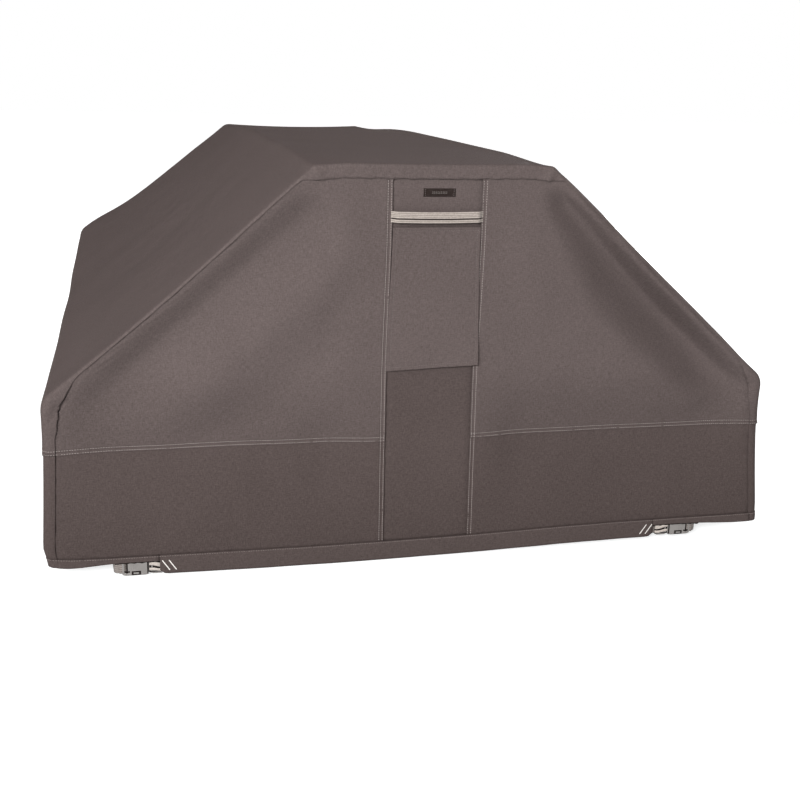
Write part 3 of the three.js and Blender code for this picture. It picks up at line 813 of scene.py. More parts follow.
def over_the_end(base, normal, width, radius, wave=0.0):
    """Where a strip of the side or crown goes as it runs along the cover and folds over each end. Returns
    places, normals and the distance run."""
    places, normals, run = [], [], []
    travelled = 0.0
    for part, value, end in LENGTHWISE:
        if part == "run":
            y = (value * 2 - 1) * (HALF_LENGTH - radius)
            place = (base[0], y, base[1])
            out = (normal[0], 0.0, normal[1])
        else:
            angle = value * math.pi / 2 if part == "bend" else math.pi / 2
            flat = (max(width - radius, 0.0) + wave) * value if part == "lip" else 0.0
            inward = radius * (1 - math.cos(angle)) + flat
            y = end * (HALF_LENGTH - radius + radius * math.sin(angle))
            place = (base[0] - normal[0] * inward, y, base[1] - normal[1] * inward)
            out = (normal[0] * math.cos(angle), end * math.sin(angle), normal[1] * math.cos(angle))
        if places:
            travelled += math.dist(places[-1], place)
        places.append(place)
        normals.append(out)
        run.append(travelled)
    return places, normals, run


def bend_radius(width, height):
    """Crisp along the crown and slopes, and softer down the sides."""
    soft = float(ramp(height, BENCH + 0.06, BENCH - 0.04))
    return min(0.0042 + 0.0095 * soft, 0.78 * width)


def both_halves():
    """The whole section from the left mid seam over the crown to the right one, with its lip widths."""
    right = [(p, n, w, s) for p, n, w, s in zip(SECTION, SECTION_NORMAL, LIP, SECTION_RUN)]
    left = [((-p[0], p[1]), (-n[0], n[1]), w, -s) for p, n, w, s in right[:0:-1]]
    return left + right


def make_main_panel():
    places, normals, uv, rise = [], [], [], []
    for base, normal, width, along in both_halves():
        wave = (
            0.0009 * math.sin(along * 203.0 + 1.6 * math.sin(along * 37.0))
            * float(ramp(width, 0.010, 0.022))
        )
        row, outs, run = over_the_end(base, normal, width, bend_radius(width, base[1]), wave)
        places.append(row)
        normals.append(outs)
        uv.append([(along, r) for r in run])
        # The lower edges lie over the skirts, and the lips over the end cloth.
        above = base[1] - MID_SEAM
        edge = seam_roll(np.full(len(row), above)) if above < 0.02 else np.zeros(len(row))
        gather = pucker(np.full(len(row), above), np.array(run), 1.0 + (base[0] > 0))
        # A soft crease stands along each fold of the crown.
        ridge = 0.0024 * bump(abs(along), RIDGE_RUN, 0.010) * ramp(np.array([-p[1] for p in row]), -0.7, 0.2)
        rise.append(LIP_RISE + edge + gather + ridge)
    places, normals, uv, rise = (np.array(a) for a in (places, normals, uv, rise))
    # One short crease where the left side folds over at the bench.
    across, along = distance_to_line(places[:, :, 0], places[:, :, 2], (-0.651, 0.312), (-0.674, 0.270))
    on_front = ramp(-places[:, :, 1], HALF_LENGTH - 0.016, HALF_LENGTH - 0.006)
    rise -= 0.0026 * bump(across, 0.0, 0.0042) * ramp(along, -0.15, 0.10) * ramp(along, 1.10, 0.85) * on_front
    # Gathers run along the lip's edge where the end cloth is sewn under it.
    across = uv[:, :, 0]
    for k, (part, value, end) in enumerate(LENGTHWISE):
        if part in ("lip", "bend"):
            gone = (1.0 - value) * 0.012 if part == "lip" else 0.012 + (1.0 - value) * 0.02
            rise[:, k] += pucker(gone, across[:, k], 3.0 + end, 0.0006)
    panel = cloth_piece("main_panel_cloth", places, normals, rise, uv, TAUPE)
    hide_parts("main_panel")
    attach(panel, "cover")
    return panel


# ---------------------------------------------------------------- side skirts and hems


def side_strip(side, heights, rise_of, radius):
    places, normals, uv, rise = [], [], [], []
    for z in heights:
        row, outs, run = over_the_end((side * HALF_WIDTH, z), (side, 0.0), SIDE_LIP, radius)
        places.append(row)
        normals.append(outs)
        uv.append([(r, z) for r in run])
        rise.append(rise_of(z, np.array(run)))
    return (np.array(a) for a in (places, normals, rise, uv))


def make_sides():
    radius = bend_radius(SIDE_LIP, 0.0)
    for side, word in ((-1, "left"), (1, "right")):
        heights = stations(HEM_SEAM - TUCK * 0.6, MID_SEAM + TUCK, 0.011, False, True)

        def skirt_rise(z, run):
            tucked = ramp(z, MID_SEAM - 0.002, MID_SEAM + 0.001)
            below = max(MID_SEAM - z, 0.0)
            return SKIRT_RISE + LIP_RISE - 0.0005 * tucked + pucker(np.full(len(run), below), run, 5.0 + side)

        places, normals, rise, uv = side_strip(side, heights, skirt_rise, radius)
        skirt = cloth_piece(f"{word}_skirt_cloth", places, normals, rise, uv, TAUPE_LOW)
        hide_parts(f"{word}_skirt")
        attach(skirt, "cover")

        def hem_rise(z, run):
            above = abs(z - HEM_SEAM)
            roll = 0.0007 * math.sin(math.pi * np.clip((z - OUTER_HEM) / (HEM_SEAM - OUTER_HEM), 0, 1))
            return HEM_RISE + roll + pucker(np.full(len(run), above), run, 8.0 + side, 0.0005)

        hem_heights = np.linspace(OUTER_HEM, HEM_SEAM, 9)
        places, normals, rise, uv = side_strip(side, hem_heights, hem_rise, radius)
        hem = cloth_piece(f"{word}_hem_band", places, normals, rise, uv, HEM_CLOTH_LOOK, HEM_CLOTH)
        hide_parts(f"{word}_hem")
        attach(hem, "cover")


# ---------------------------------------------------------------- end cloth


def face_normals(shape, end):
    out = np.zeros((*shape, 3))
    out[:, :, 1] = end
    return out


def end_sheet(name, xs, zs_of, end, rise_of, material, thickness=CLOTH, hang=None):
    """A piece of an end: xs are its columns and zs_of(x) the heights in each. hang moves its points where
    it hangs out of square."""
    columns = np.array([zs_of(x) for x in xs])
    zs = columns.T
    grid_x = np.broadcast_to(np.array(xs), zs.shape)
    hung_x, hung_z = hang(grid_x, zs) if hang else (grid_x, zs)
    places = np.stack([hung_x, np.full(zs.shape, end * HALF_LENGTH), hung_z], axis=2)
    rise = rise_of(grid_x, zs)
    uv = np.stack([grid_x, zs], axis=2)
    return cloth_piece(name, places, face_normals(zs.shape, end), rise, uv, material, thickness)


GORE_EDGE = SECTION - SECTION_NORMAL * (LIP - UNDERLAP)[:, None]


def gore_top(x):
    """The height of the tucked edge over a place on the right half."""
    order = np.argsort(GORE_EDGE[:, 0])
    return float(np.interp(x, GORE_EDGE[order, 0], GORE_EDGE[order, 1]))


def make_gores(end, word):
    outer = GORE_EDGE[-1, 0]
    spread = stations(COLUMN_EDGE, outer - 0.075, 0.0085, True, False)
    tight = outer - 0.075 * np.cos(np.linspace(0, math.pi / 2, 22)[1:]) ** 1.15
    xs = np.concatenate([spread, tight])
    for side, hand in ((-1, "left"), (1, "right")):

        def heights(x):
            top = gore_top(min(abs(x), outer - 1e-5))
            near = (
                MID_SEAM
                + np.array([0.0, 0.0012, 0.0024, 0.0040, 0.0055, 0.0070, 0.0086, 0.0102, 0.0130, 0.0170])
            )
            rest = top - near[-1]
            if rest > 0.02:
                body = near[-1] + (rest - 0.012) * np.linspace(0, 1, 62)[1:]
                last = top - 0.012 + 0.012 * np.linspace(0, 1, 6)[1:]
                return np.concatenate([near, body, last])
            return MID_SEAM + (top - MID_SEAM) * np.linspace(0, 1, 76)

        def rise(x, z):
            inner = np.abs(x) - COLUMN_EDGE
            lower = z - MID_SEAM
            flat = np.stack([np.abs(x).ravel(), z.ravel()], axis=1)
            gap = np.sqrt(((flat[:, None, :] - LIP_EDGE[None, :, :]) ** 2).sum(axis=2)).min(axis=1).reshape(
                x.shape
            )
            result = GORE_RISE + seam_roll(inner) + seam_roll(lower)
            result += pucker(inner, z, 11.0 + side + end) + pucker(lower, x, 14.0 + side + end)
            result += pucker(gap, x + z, 17.0 + side + end, 0.0008) - 0.0020 * np.exp(-gap / 0.0035)
            bench = bump(z, 0.31, 0.040) * ramp(np.abs(x), 0.60, 0.64)
            deep = 0.0040 if side * end > 0 else 0.0016
            return result - deep * bench * np.exp(-gap / 0.009)

        gore = end_sheet(f"{word}_{hand}_gore_cloth", [side * x for x in xs], heights, end, rise, TAUPE)
        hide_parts(f"{word}_{hand}_gore")
        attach(gore, "cover")


def make_end_skirts(end, word):
    outer = HALF_WIDTH - SIDE_LIP + 0.0045
    for side, hand in ((-1, "left"), (1, "right")):
        xs = [side * x for x in stations(COLUMN_EDGE, outer, 0.0085, True, True)]
        zs = stations(HEM_SEAM - TUCK * 0.6, MID_SEAM + TUCK, 0.009, False, True)

        def rise(x, z):
            inner = np.abs(x) - COLUMN_EDGE
            gap = outer - 0.0045 - np.abs(x)
            tucked = ramp(z, MID_SEAM - 0.002, MID_SEAM + 0.001)
            result = SKIRT_RISE + seam_roll(inner) - 0.0004 * tucked - 0.0012 * np.exp(-np.abs(gap) / 0.004)
            result += pucker(inner, z, 21.0 + side) + pucker(np.abs(gap), z, 23.0 + side)
            return result + pucker(np.maximum(MID_SEAM - z, 0), x, 14.0 + side + end)

        skirt = end_sheet(f"{word}_{hand}_skirt_cloth", xs, lambda x: zs, end, rise, TAUPE_LOW)
        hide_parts(f"{word}_{hand}_skirt")
        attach(skirt, "cover")


def hem_reach(end, side):
    """Where the deep middle band of the hem ends, to the left and the right."""
    return CENTRE_HEM_HALF + (0.024 if side * end > 0 else 0.0015)


def outer_hem_edge(x, loose):
    """The lower edge of an outer hem band, which is cut up over the buckle. loose is True on the side that
    hangs low."""
    lift = 0.0078 * ramp(np.abs(x), 0.66, 0.54) if loose else 0.0060 * ramp(np.abs(x), 0.66, 0.50)
    return OUTER_HEM + lift


def make_hems(end, word):
    """The centre band hangs deeper than the two outer ones, which leave room for the buckles."""
    outer = HALF_WIDTH - SIDE_LIP + 0.003
    left, right = -hem_reach(end, -1), hem_reach(end, 1)
    left_skirt, right_skirt = f"{word}_left_skirt_cloth", f"{word}_right_skirt_cloth"
    spans = [
        ("centre_hem", left, right, -0.0035, [left_skirt, right_skirt]),
        ("left_hem", left, -outer, OUTER_HEM, [left_skirt]),
        ("right_hem", right, outer, OUTER_HEM, [right_skirt]),
    ]
    for label, start, stop, bottom, sewn_to in spans:
        xs = stations(start + math.copysign(0.0002, stop - start), stop, 0.008)

        def heights(x):
            # The deep band rises in a short curve to the strap at each of its ends.
            lift = 0.0
            if label == "centre_hem":
                reach = -left if x < 0 else right
                lift = OUTER_HEM * 0.55 * float(ramp(abs(x), reach - 0.010, reach))
            else:
                lift = float(outer_hem_edge(x, x * end > 0)) - OUTER_HEM
            return np.linspace(bottom + lift, HEM_SEAM, 10)

        def rise(x, z):
            part = np.clip((z - bottom) / (HEM_SEAM - bottom), 0, 1)
            roll = 0.0010 * np.sin(math.pi * part) + 0.0006 * bump(z, bottom, 0.004)
            return HEM_RISE + roll + pucker(HEM_SEAM - z, x, 31.0 + end, 0.0005)

        hem = end_sheet(f"{word}_{label}_band", xs, heights, end, rise, HEM_CLOTH_LOOK, HEM_CLOTH)
        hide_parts(f"{word}_{label}")
        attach(hem, "cover")


def make_column(end, word):
    half = COLUMN_EDGE + TUCK

    def tucked(x):
        return -0.0016 * ramp(np.abs(x), COLUMN_EDGE - 0.006, COLUMN_EDGE)

    def header_rise(x, z):
        return (
            COLUMN_RISE + tucked(x) + pucker(COLUMN_EDGE - np.abs(x), z, 41.0)
            + pucker(np.abs(TOP_SEAM - z), x, 43.0, 0.0008)
        )

    xs = stations(-half, half, 0.007)
    header_zs = stations(VENT_HIGH - 0.001, TOP_SEAM + 0.0045, 0.006)
    header = end_sheet(f"{word}_header_cloth", xs, lambda x: header_zs, end, header_rise, TAUPE)

    def lower_rise(x, z):
        hollow = -0.0015 * bump(x, 0.0, 0.05) * ramp(z, 0.05, 0.12)
        return COLUMN_RISE + tucked(x) + hollow + pucker(COLUMN_EDGE - np.abs(x), z, 45.0)

    lower_zs = stations(HEM_SEAM - TUCK * 0.6, VENT_LOW, 0.009)
    lower = end_sheet(f"{word}_centre_panel_cloth", xs, lambda x: lower_zs, end, lower_rise, TAUPE_LOW)
    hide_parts(f"{word}_vent_header")
    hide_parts(f"{word}_centre_panel")
    for piece, zs in ((header, header_zs), (lower, lower_zs)):
        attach(piece, "cover")


def make_vent_mesh(end, word):
    """An open net of yarns behind the flap: flat yarns both ways, each a slim square-edged bar."""
    build = bmesh.new()
    half, pitch, yarn = COLUMN_EDGE + 0.004, 0.0032, 0.0011
    low, high = VENT_LOW - 0.004, VENT_HIGH + 0.004
    depth = COLUMN_RISE - 0.0034

    def bar(centre, size):
        made = bmesh.ops.create_cube(build, size=1.0)["verts"]
        bmesh.ops.scale(build, verts=made, vec=size)
        bmesh.ops.translate(build, verts=made, vec=centre)

    for x in np.arange(-half, half + pitch / 2, pitch):
        bar((x, 0.0, (low + high) / 2), (yarn, 0.0006, high - low))
    for z in np.arange(low, high + pitch / 2, pitch):
        bar((0.0, 0.0, z), (2 * half, 0.0007, yarn))
    for vert in build.verts:
        base = settle(np.array([[vert.co.x, end * HALF_LENGTH, vert.co.z]]))[0]
        vert.co = Vector(base) + Vector((0.0, end * (depth + vert.co.y), 0.0))
    if end > 0:
        bmesh.ops.recalc_face_normals(build, faces=build.faces[:])
    net = finished(f"{word}_vent_net", build, MESH_LOOK, smooth=False)
    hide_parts(f"{word}_vent_mesh")
    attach(net, "cover")


# ---------------------------------------------------------------- vent flap


def make_flap(end, word):
    """A doubled flap that hangs from its top seam and bells out a little towards its free edge."""
    stand = abs(FLAP_HIGH.y) - HALF_LENGTH
    top, bottom = FLAP_HIGH.z, FLAP_LOW.z
    half = 0.0806
    xs = stations(-half, half, 0.006, True, True)
    zs = stations(bottom, top, 0.007, True, True)

    def rise(x, z):
        free = ramp(z, top - 0.01, bottom)
        edge = np.minimum(half - np.abs(x), z - bottom)
        belly = 0.0022 * free * np.cos(x / half * 1.2)
        curl = 0.0055 * ramp(-end * x, 0.0, half) * ramp(z, bottom + 0.07, bottom)
        hemmed = 0.0004 * ramp(edge, 0.0, 0.001) - 0.00035 * bump(edge, 0.0066, 0.0012)
        top_roll = -0.0005 * bump(z, top - 0.006, 0.0012) + 0.0004 * bump(z, top - 0.010, 0.002)
        gather = pucker(top - z, x, 51.0, 0.0004) + pucker(z - bottom, x, 52.0, 0.0004)
        # Short pulled creases run up from the lower corner on the side that hangs tight.
        pulled = 0.0
        for start, slant, length in ((0.012, 0.40, 0.075), (0.027, 0.55, 0.060), (0.044, 0.70, 0.045)):
            foot = (end * (half - start), bottom)
            across, along = distance_to_line(x, z, foot, (foot[0] + end * slant * length, bottom + length))
            pulled = (
                pulled + 0.0011 * bump(across, 0.0, 0.0032) * ramp(along, 0.0, 0.2) * ramp(along, 1.1, 0.5)
            )
        return stand + 0.0014 + belly + curl + hemmed + top_roll + gather + pulled

    def hang(x, z):
        """Wider towards its free edge, which rises to the corner that hangs loose."""
        free = ramp(z, top - 0.02, bottom)
        loose = 0.5 - 0.5 * end * x / half
        return x * (1.0 + 0.030 * free) - end * 0.0060 * free * loose, z + 0.0080 * free * loose

    flap = end_sheet(f"{word}_flap_cloth", xs, lambda x: zs, end, rise, TAUPE, 0.0016, hang)
    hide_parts(f"{word}_vent_flap")
    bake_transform(flap)

    def row(points):
        line = np.array(points)
        hung_x, hung_z = hang(line[:, 0], line[:, 2])
        base = settle(np.stack([hung_x, line[:, 1], hung_z], axis=1))
        normals = np.tile((0.0, float(end), 0.0), (len(line), 1))
        return base + normals * (rise(line[:, 0], line[:, 2]) + 0.0001)[:, None], normals

    def straight(a, b):
        return [
            (a[0] + (b[0] - a[0]) * t, end * HALF_LENGTH, a[1] + (b[1] - a[1]) * t)
            for t in np.linspace(0, 1, 60)
        ]

    inset = half - 0.0066
    hem = [
        row(straight((-inset, top - 0.012), (-inset, bottom + 0.0066))),
        row(straight((-inset, bottom + 0.0066), (inset, bottom + 0.0066))),
        row(straight((inset, bottom + 0.0066), (inset, top - 0.012))),
    ]
    stitched = thread_piece(f"{word}_flap_hem_thread", hem, TAUPE_THREAD, radius=0.0004)
    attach(stitched, f"{word}_flap")
    seam = thread_piece(
        f"{word}_flap_seam_thread",
        [row(straight((-half + 0.003, top - 0.006), (half - 0.003, top - 0.006)))], TAUPE_THREAD,
        radius=0.00045,
    )
    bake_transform(seam)


# ---------------------------------------------------------------- handle


def handle_half(end, word, side, label, top, band, reach, thickness):
    """Half of a handle strip, from the column seam to its middle: it leaves the seam flat and stands off
    the header."""
    half = COLUMN_EDGE + 0.003
    steps = 34
    along = np.linspace(0.0, 1.0, steps)
    xs = side * half * (1.0 - along)
    away = reach * ramp(along, 0.0, 0.14) + 0.0002
    sag = -0.0010 * ramp(along, 0.0, 0.8)
    rows = np.linspace(top - band, top, 25)
    places, uv = [], []
    for z in rows:
        places.append([(x, end * HALF_LENGTH, z + s) for x, s in zip(xs, sag)])
        uv.append([(side * half * (1 - a), z - top + band) for a in along])
    places = np.array(places)
    across = np.linspace(0.0, 1.0, len(rows))[:, None]
    ribs = 0.00042 * np.abs(np.sin(across * math.pi * 4))
    rise = away[None, :] + 0.0004 * np.sin(across * math.pi) + ribs
    piece = cloth_piece(
        f"{word}_{label}_{'left' if side < 0 else 'right'}",
        places,
        face_normals(places.shape[:2], end),
        rise,
        np.array(uv),
        HANDLE_LOOK,
        thickness,
        crisp=True,
    )
    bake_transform(piece)
    return piece


def make_handle(end, word):
    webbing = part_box(f"{word}_handle_webbing")
    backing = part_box(f"{word}_handle_backing")
    reach = max(abs(webbing[0].y), abs(webbing[1].y)) - HALF_LENGTH
    for side in (-1, 1):
        front = handle_half(end, word, side, "handle", webbing[1].z, 0.0122, reach, 0.0013)
        rear = handle_half(
            end, word, side, "handle_back", backing[0].z + 0.0036, 0.0058, reach - 0.0010, 0.0013
        )
        if side < 0:
            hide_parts(f"{word}_handle_webbing")
            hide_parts(f"{word}_handle_backing")


# ---------------------------------------------------------------- label


def make_label():
    low, high = LABEL_LOW, LABEL_HIGH
    back = COLUMN_LEAN
    low, high = low - Vector((back, 0.0, 0.0)), high - Vector((back, 0.0, 0.0))
    xs = np.linspace(low.x, high.x, 40)
    zs = np.linspace(low.z, high.z, 14)

    def rise(x, z):
        edge = np.minimum(np.minimum(x - low.x, high.x - x), np.minimum(z - low.z, high.z - z) * 1.6)
        return (
            COLUMN_RISE + 0.0012 + 0.0004 * ramp(edge, 0.0, 0.002)
            - 0.0002 * bump(np.minimum(x - low.x, high.x - x), 0.003, 0.001)
        )

    label = end_sheet("front_woven_label", list(xs), lambda x: zs, -1, rise, LABEL_LOOK, 0.0008)
    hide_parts("front_label")
    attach(label, "cover")

    def line(points):
        flat = np.array(points)
        normals = np.tile((0.0, -1.0, 0.0), (len(flat), 1))
        return settle(flat) + normals * (COLUMN_RISE + 0.0017), normals

    middle = (low.z + high.z) / 2
    centre = (low.x + high.x) / 2
    face = -HALF_LENGTH
    bars = [
        line([(centre - 0.014, face, middle + d), (centre + 0.014, face, middle + d)])
        for d in (-0.0012, 0.0012)
    ]
    motif = thread_piece("front_label_motif", bars, LABEL_MOTIF, length=0.0021, radius=0.0005, pitch=0.0028)
    ends = [
        line([(x, face, low.z + 0.001), (x, face, high.z - 0.001)]) for x in (low.x + 0.003, high.x - 0.003)
    ]
    tacks = thread_piece("front_label_tacks", ends, DULL_THREAD, length=0.0020, radius=0.0003, pitch=0.0026)
    for piece in (motif, tacks):
        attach(piece, "cover")


# ---------------------------------------------------------------- topstitching


def on_end(end, points, rise):
    """A thread row on an end: points are (x, z) on the ideal face."""
    flat = np.array([(x, end * HALF_LENGTH, z) for x, z in points])
    normals = np.tile((0.0, float(end), 0.0), (len(flat), 1))
    return settle(flat) + normals * rise, normals


def even(a, b, step=0.006):
    count = max(2, int(math.dist(a, b) / step))
    return [(a[0] + (b[0] - a[0]) * k / count, a[1] + (b[1] - a[1]) * k / count) for k in range(count + 1)]


def round_corner_row(side, z, rise):
    """A thread row right along a side at one height, on to both ends as far as the strip's edge."""
    row, outs, _ = over_the_end((side * HALF_WIDTH, z), (side, 0.0), SIDE_LIP, bend_radius(SIDE_LIP, 0.0))
    line = settle(np.array(row)) + np.array(outs) * rise
    return line, np.array(outs)


def make_topstitching():
    sunk = 0.0001
    for end, word in ((-1, "front"), (1, "back")):
        columns, mids, hems = [], [], []
        for side in (-1, 1):
            for offset in STITCH_ROWS:
                x = side * (COLUMN_EDGE + offset)
                columns.append(on_end(end, even((x, TOP_SEAM - 0.002), (x, MID_SEAM)), GORE_RISE + sunk))
                columns.append(
                    on_end(end, even((x, MID_SEAM - 0.001), (x, HEM_SEAM + 0.001)), SKIRT_RISE + sunk)
                )
                z = MID_SEAM + offset
                outer = side * (HALF_WIDTH - SIDE_LIP - 0.0004)
                mids.append(
                    on_end(end, even((side * (COLUMN_EDGE + 0.001), z), (outer, z)), GORE_RISE + sunk)
                )
            hem_start = (side * CENTRE_HEM_HALF, HEM_SEAM - 0.002)
            hem_end = (side * (HALF_WIDTH - SIDE_LIP), HEM_SEAM - 0.002)
            hems.append(on_end(end, even(hem_start, hem_end), HEM_RISE + 0.0004))
        hem_ends = [(x, HEM_SEAM - 0.002) for x in (-CENTRE_HEM_HALF, CENTRE_HEM_HALF)]
        hems.append(on_end(end, even(*hem_ends), HEM_RISE + 0.0003))
        made = [
            thread_piece(f"{word}_column_thread", columns, PALE_THREAD),
            thread_piece(f"{word}_mid_seam_thread", mids, PALE_THREAD, radius=0.00054),
            thread_piece(f"{word}_hem_thread", hems, DULL_THREAD, radius=0.0005),
        ]
        for piece in made:
            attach(piece, "cover")
    for side, word in ((-1, "left"), (1, "right")):
        mids = [round_corner_row(side, MID_SEAM + offset, LIP_RISE + sunk) for offset in STITCH_ROWS]
        hems = [round_corner_row(side, HEM_SEAM - 0.002, HEM_RISE + 0.0003)]
        made = [
            thread_piece(f"{word}_mid_seam_thread", mids, PALE_THREAD, radius=0.00054),
            thread_piece(f"{word}_hem_thread", hems, DULL_THREAD, radius=0.0005),
        ]
        for piece in made:
            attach(piece, "cover")


# ---------------------------------------------------------------- straps

# Where the folds of webbing lie on the plug, from the socket's mouth inwards.
FOLDS_FROM = 0.5085
FOLDS_TO = 0.4810


def end_shift(x, end):
    """How far the hem stands out at a strap, so that the strap goes with it."""
    spot = np.array([[x, end * HALF_LENGTH, 0.018]])
    return Vector(settle(spot)[0] - spot[0])


def refined(node, shift, edge=0.0007):
    """A copy of a moulded CAD solid with its loose triangles joined and its edges rounded."""
    build = bmesh.new()
    build.from_mesh(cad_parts[node].data)
    bmesh.ops.remove_doubles(build, verts=build.verts, dist=1e-6)
    bmesh.ops.dissolve_limit(build, angle_limit=math.radians(1.0), verts=build.verts[:], edges=build.edges[:])
    sharp = [e for e in build.edges if len(e.link_faces) == 2 and e.calc_face_angle(0.0) > math.radians(28)]
    bmesh.ops.bevel(
        build, geom=sharp, offset=edge, offset_type="OFFSET", segments=2, profile=0.5, affect="EDGES",
        material=-1, clamp_overlap=True,
    )
    bmesh.ops.translate(build, verts=build.verts, vec=shift)
    return build


def raised_bar(build, centre, size, edge):
    """A rounded rib moulded on a face."""
    made = bmesh.ops.create_cube(build, size=1.0)["verts"]
    bmesh.ops.scale(build, verts=made, vec=size)
    bmesh.ops.translate(build, verts=made, vec=centre)
    edges = list({e for v in made for e in v.link_edges})
    bmesh.ops.bevel(
        build, geom=edges, offset=edge, offset_type="OFFSET", segments=2, profile=0.5, affect="EDGES",
        material=-1,
    )


def strap_shift(side, end):
    """The straps hang from the hem, so they move with it, sag a little below it and are pulled in a
    little."""
    slip = 0.004 if side * end > 0 else 0.012
    return end_shift(side * BUCKLE_MOUTH, end) + Vector((-side * slip, 0.0, -STRAP_SAG))


def make_buckle(end, side, corner):
    """The socket and the plug, each with its ribs, and dark bars laid on their faces as painted shade, in the
    openings round the latches and under the plug's folds.
    """
    node = f"{corner}_buckle_socket"
    low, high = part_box(node)
    shift = strap_shift(side, end)
    middle_z = (low.z + high.z) / 2 + shift.z
    mouth_x = (low.x if side > 0 else high.x) + shift.x
    bar_x = (high.x if side > 0 else low.x) + shift.x
    front_y = (low.y if end < 0 else high.y) + shift.y

    build = refined(node, shift)
    for k in (-1, 0, 1):
        raised_bar(
            build, ((mouth_x + bar_x) / 2 + side * (0.004 + k * 0.0042), front_y, middle_z),
            (0.0016, 0.0010, 0.013), 0.0004,
        )
    for k in (-1, 1):
        raised_bar(
            build, (mouth_x + side * 0.0215, front_y, middle_z + k * 0.0125), (0.0100, 0.0026, 0.0032),
            0.0010,
        )
        raised_bar(
            build, (bar_x - side * 0.0040, front_y, middle_z + k * 0.0130), (0.0065, 0.0018, 0.0038), 0.0008
        )
    socket = finished(f"{corner}_socket_moulding", build, RESIN, smooth=False)
    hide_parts(node)
    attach(socket, "cover")

    # Painted shade: dark bars on the socket's face where its openings would lie in shade.
    painted_shade_bars = bmesh.new()
    for k in (-1, 1):
        raised_bar(
            painted_shade_bars, (mouth_x + side * 0.0215, front_y, middle_z + k * 0.0123), (0.0165, 0.0010, 0.0078),
            0.0004,
        )
        raised_bar(
            painted_shade_bars, (bar_x - side * 0.0085, front_y, middle_z + k * 0.0095), (0.0100, 0.0008, 0.0030), 0.0003
        )
    raised_bar(painted_shade_bars, (bar_x - side * 0.0085, front_y, middle_z), (0.0026, 0.0008, 0.0240), 0.0003)
    raised_bar(painted_shade_bars, (mouth_x + side * 0.0012, front_y, middle_z), (0.0024, 0.0008, 0.0290), 0.0003)
    painted_shade_piece = finished(f"{corner}_socket_slots", painted_shade_bars, PAINTED_SHADOW, smooth=False)
    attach(painted_shade_piece, "cover")

    node = f"{corner}_buckle_plug"
    low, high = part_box(node)
    build = refined(node, shift, 0.0006)
    shown_x = (low.x if side > 0 else high.x) + side * 0.019 + shift.x
    front_y = (low.y if end < 0 else high.y) + shift.y
    for k in (-1, 1):
        raised_bar(build, (shown_x, front_y, middle_z + k * 0.009), (0.012, 0.0024, 0.0045), 0.0008)
    raised_bar(build, (shown_x + side * 0.003, front_y, middle_z), (0.0022, 0.0026, 0.015), 0.0008)
    plug = finished(f"{corner}_plug_moulding", build, RESIN, smooth=False)
    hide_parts(node)
    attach(plug, f"{corner}_plug")

    # Painted shadow: a dark bar on the plug's face under the folds of webbing.
    painted_shade_bars = bmesh.new()
    folds_x = side * (FOLDS_FROM + FOLDS_TO) / 2 + shift.x
    raised_bar(painted_shade_bars, (folds_x, front_y, middle_z - 0.0015), (FOLDS_FROM - FOLDS_TO, 0.0010, 0.0240), 0.0004)
    painted_shade_piece = finished(f"{corner}_plug_slots", painted_shade_bars, PAINTED_SHADOW, smooth=False)
    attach(painted_shade_piece, f"{corner}_plug")


ROUTE_TURN_STEPS = 6


def eased(corners, radius):
    """A plan route with its corners rounded."""
    route = [Vector(corners[0])]
    for before, corner, after in zip(corners, corners[1:], corners[2:]):
        corner, before, after = Vector(corner), Vector(before), Vector(after)
        to_before, to_after = (before - corner).normalized(), (after - corner).normalized()
        cut = min(radius, (before - corner).length / 2, (after - corner).length / 2)
        start, stop = corner + to_before * cut, corner + to_after * cut
        for k in range(ROUTE_TURN_STEPS + 1):
            t = k / ROUTE_TURN_STEPS
            route.append(start.lerp(corner, t).lerp(corner.lerp(stop, t), t))
    route.append(Vector(corners[-1]))
    return route


def strap_ribbon(name, route, low, high, shift_of, thickness):
    """Webbing that stands on edge along a plan route."""
    points = [route[0]]
    for a, b in zip(route, route[1:]):
        count = max(1, round((b - a).length / 0.004))
        points += [a.lerp(b, (k + 1) / count) for k in range(count)]
    plan = np.array([(p.x, p.y) for p in points])
    ahead = np.gradient(plan, axis=0)
    ahead /= np.maximum(np.linalg.norm(ahead, axis=1), 1e-9)[:, None]
    out = np.stack([ahead[:, 1], -ahead[:, 0], np.zeros(len(plan))], axis=1)
    run = np.concatenate([[0.0], np.cumsum(np.linalg.norm(np.diff(plan, axis=0), axis=1))])
    zs = np.linspace(low, high, 7)
    shift = np.array([shift_of(x, y) for x, y in plan])
    bow = 0.0007 * np.sin(run * 90.0) + 0.0004 * np.sin(run * 230.0 + 1.0)
    places = np.array([[(x + s[0], y + s[1], z + s[2]) for (x, y), s in zip(plan, shift)] for z in zs])
    rise = (
        np.broadcast_to(bow[None, :], places.shape[:2])
        + 0.0003 * np.sin(np.linspace(0, math.pi, len(zs)))[:, None]
    )
    uv = np.array([[(r, z - low) for r in run] for z in zs])
    return cloth_piece(
        name, places, np.broadcast_to(out[None], places.shape), rise, uv, STRAP_LOOK, thickness, free=True
    )


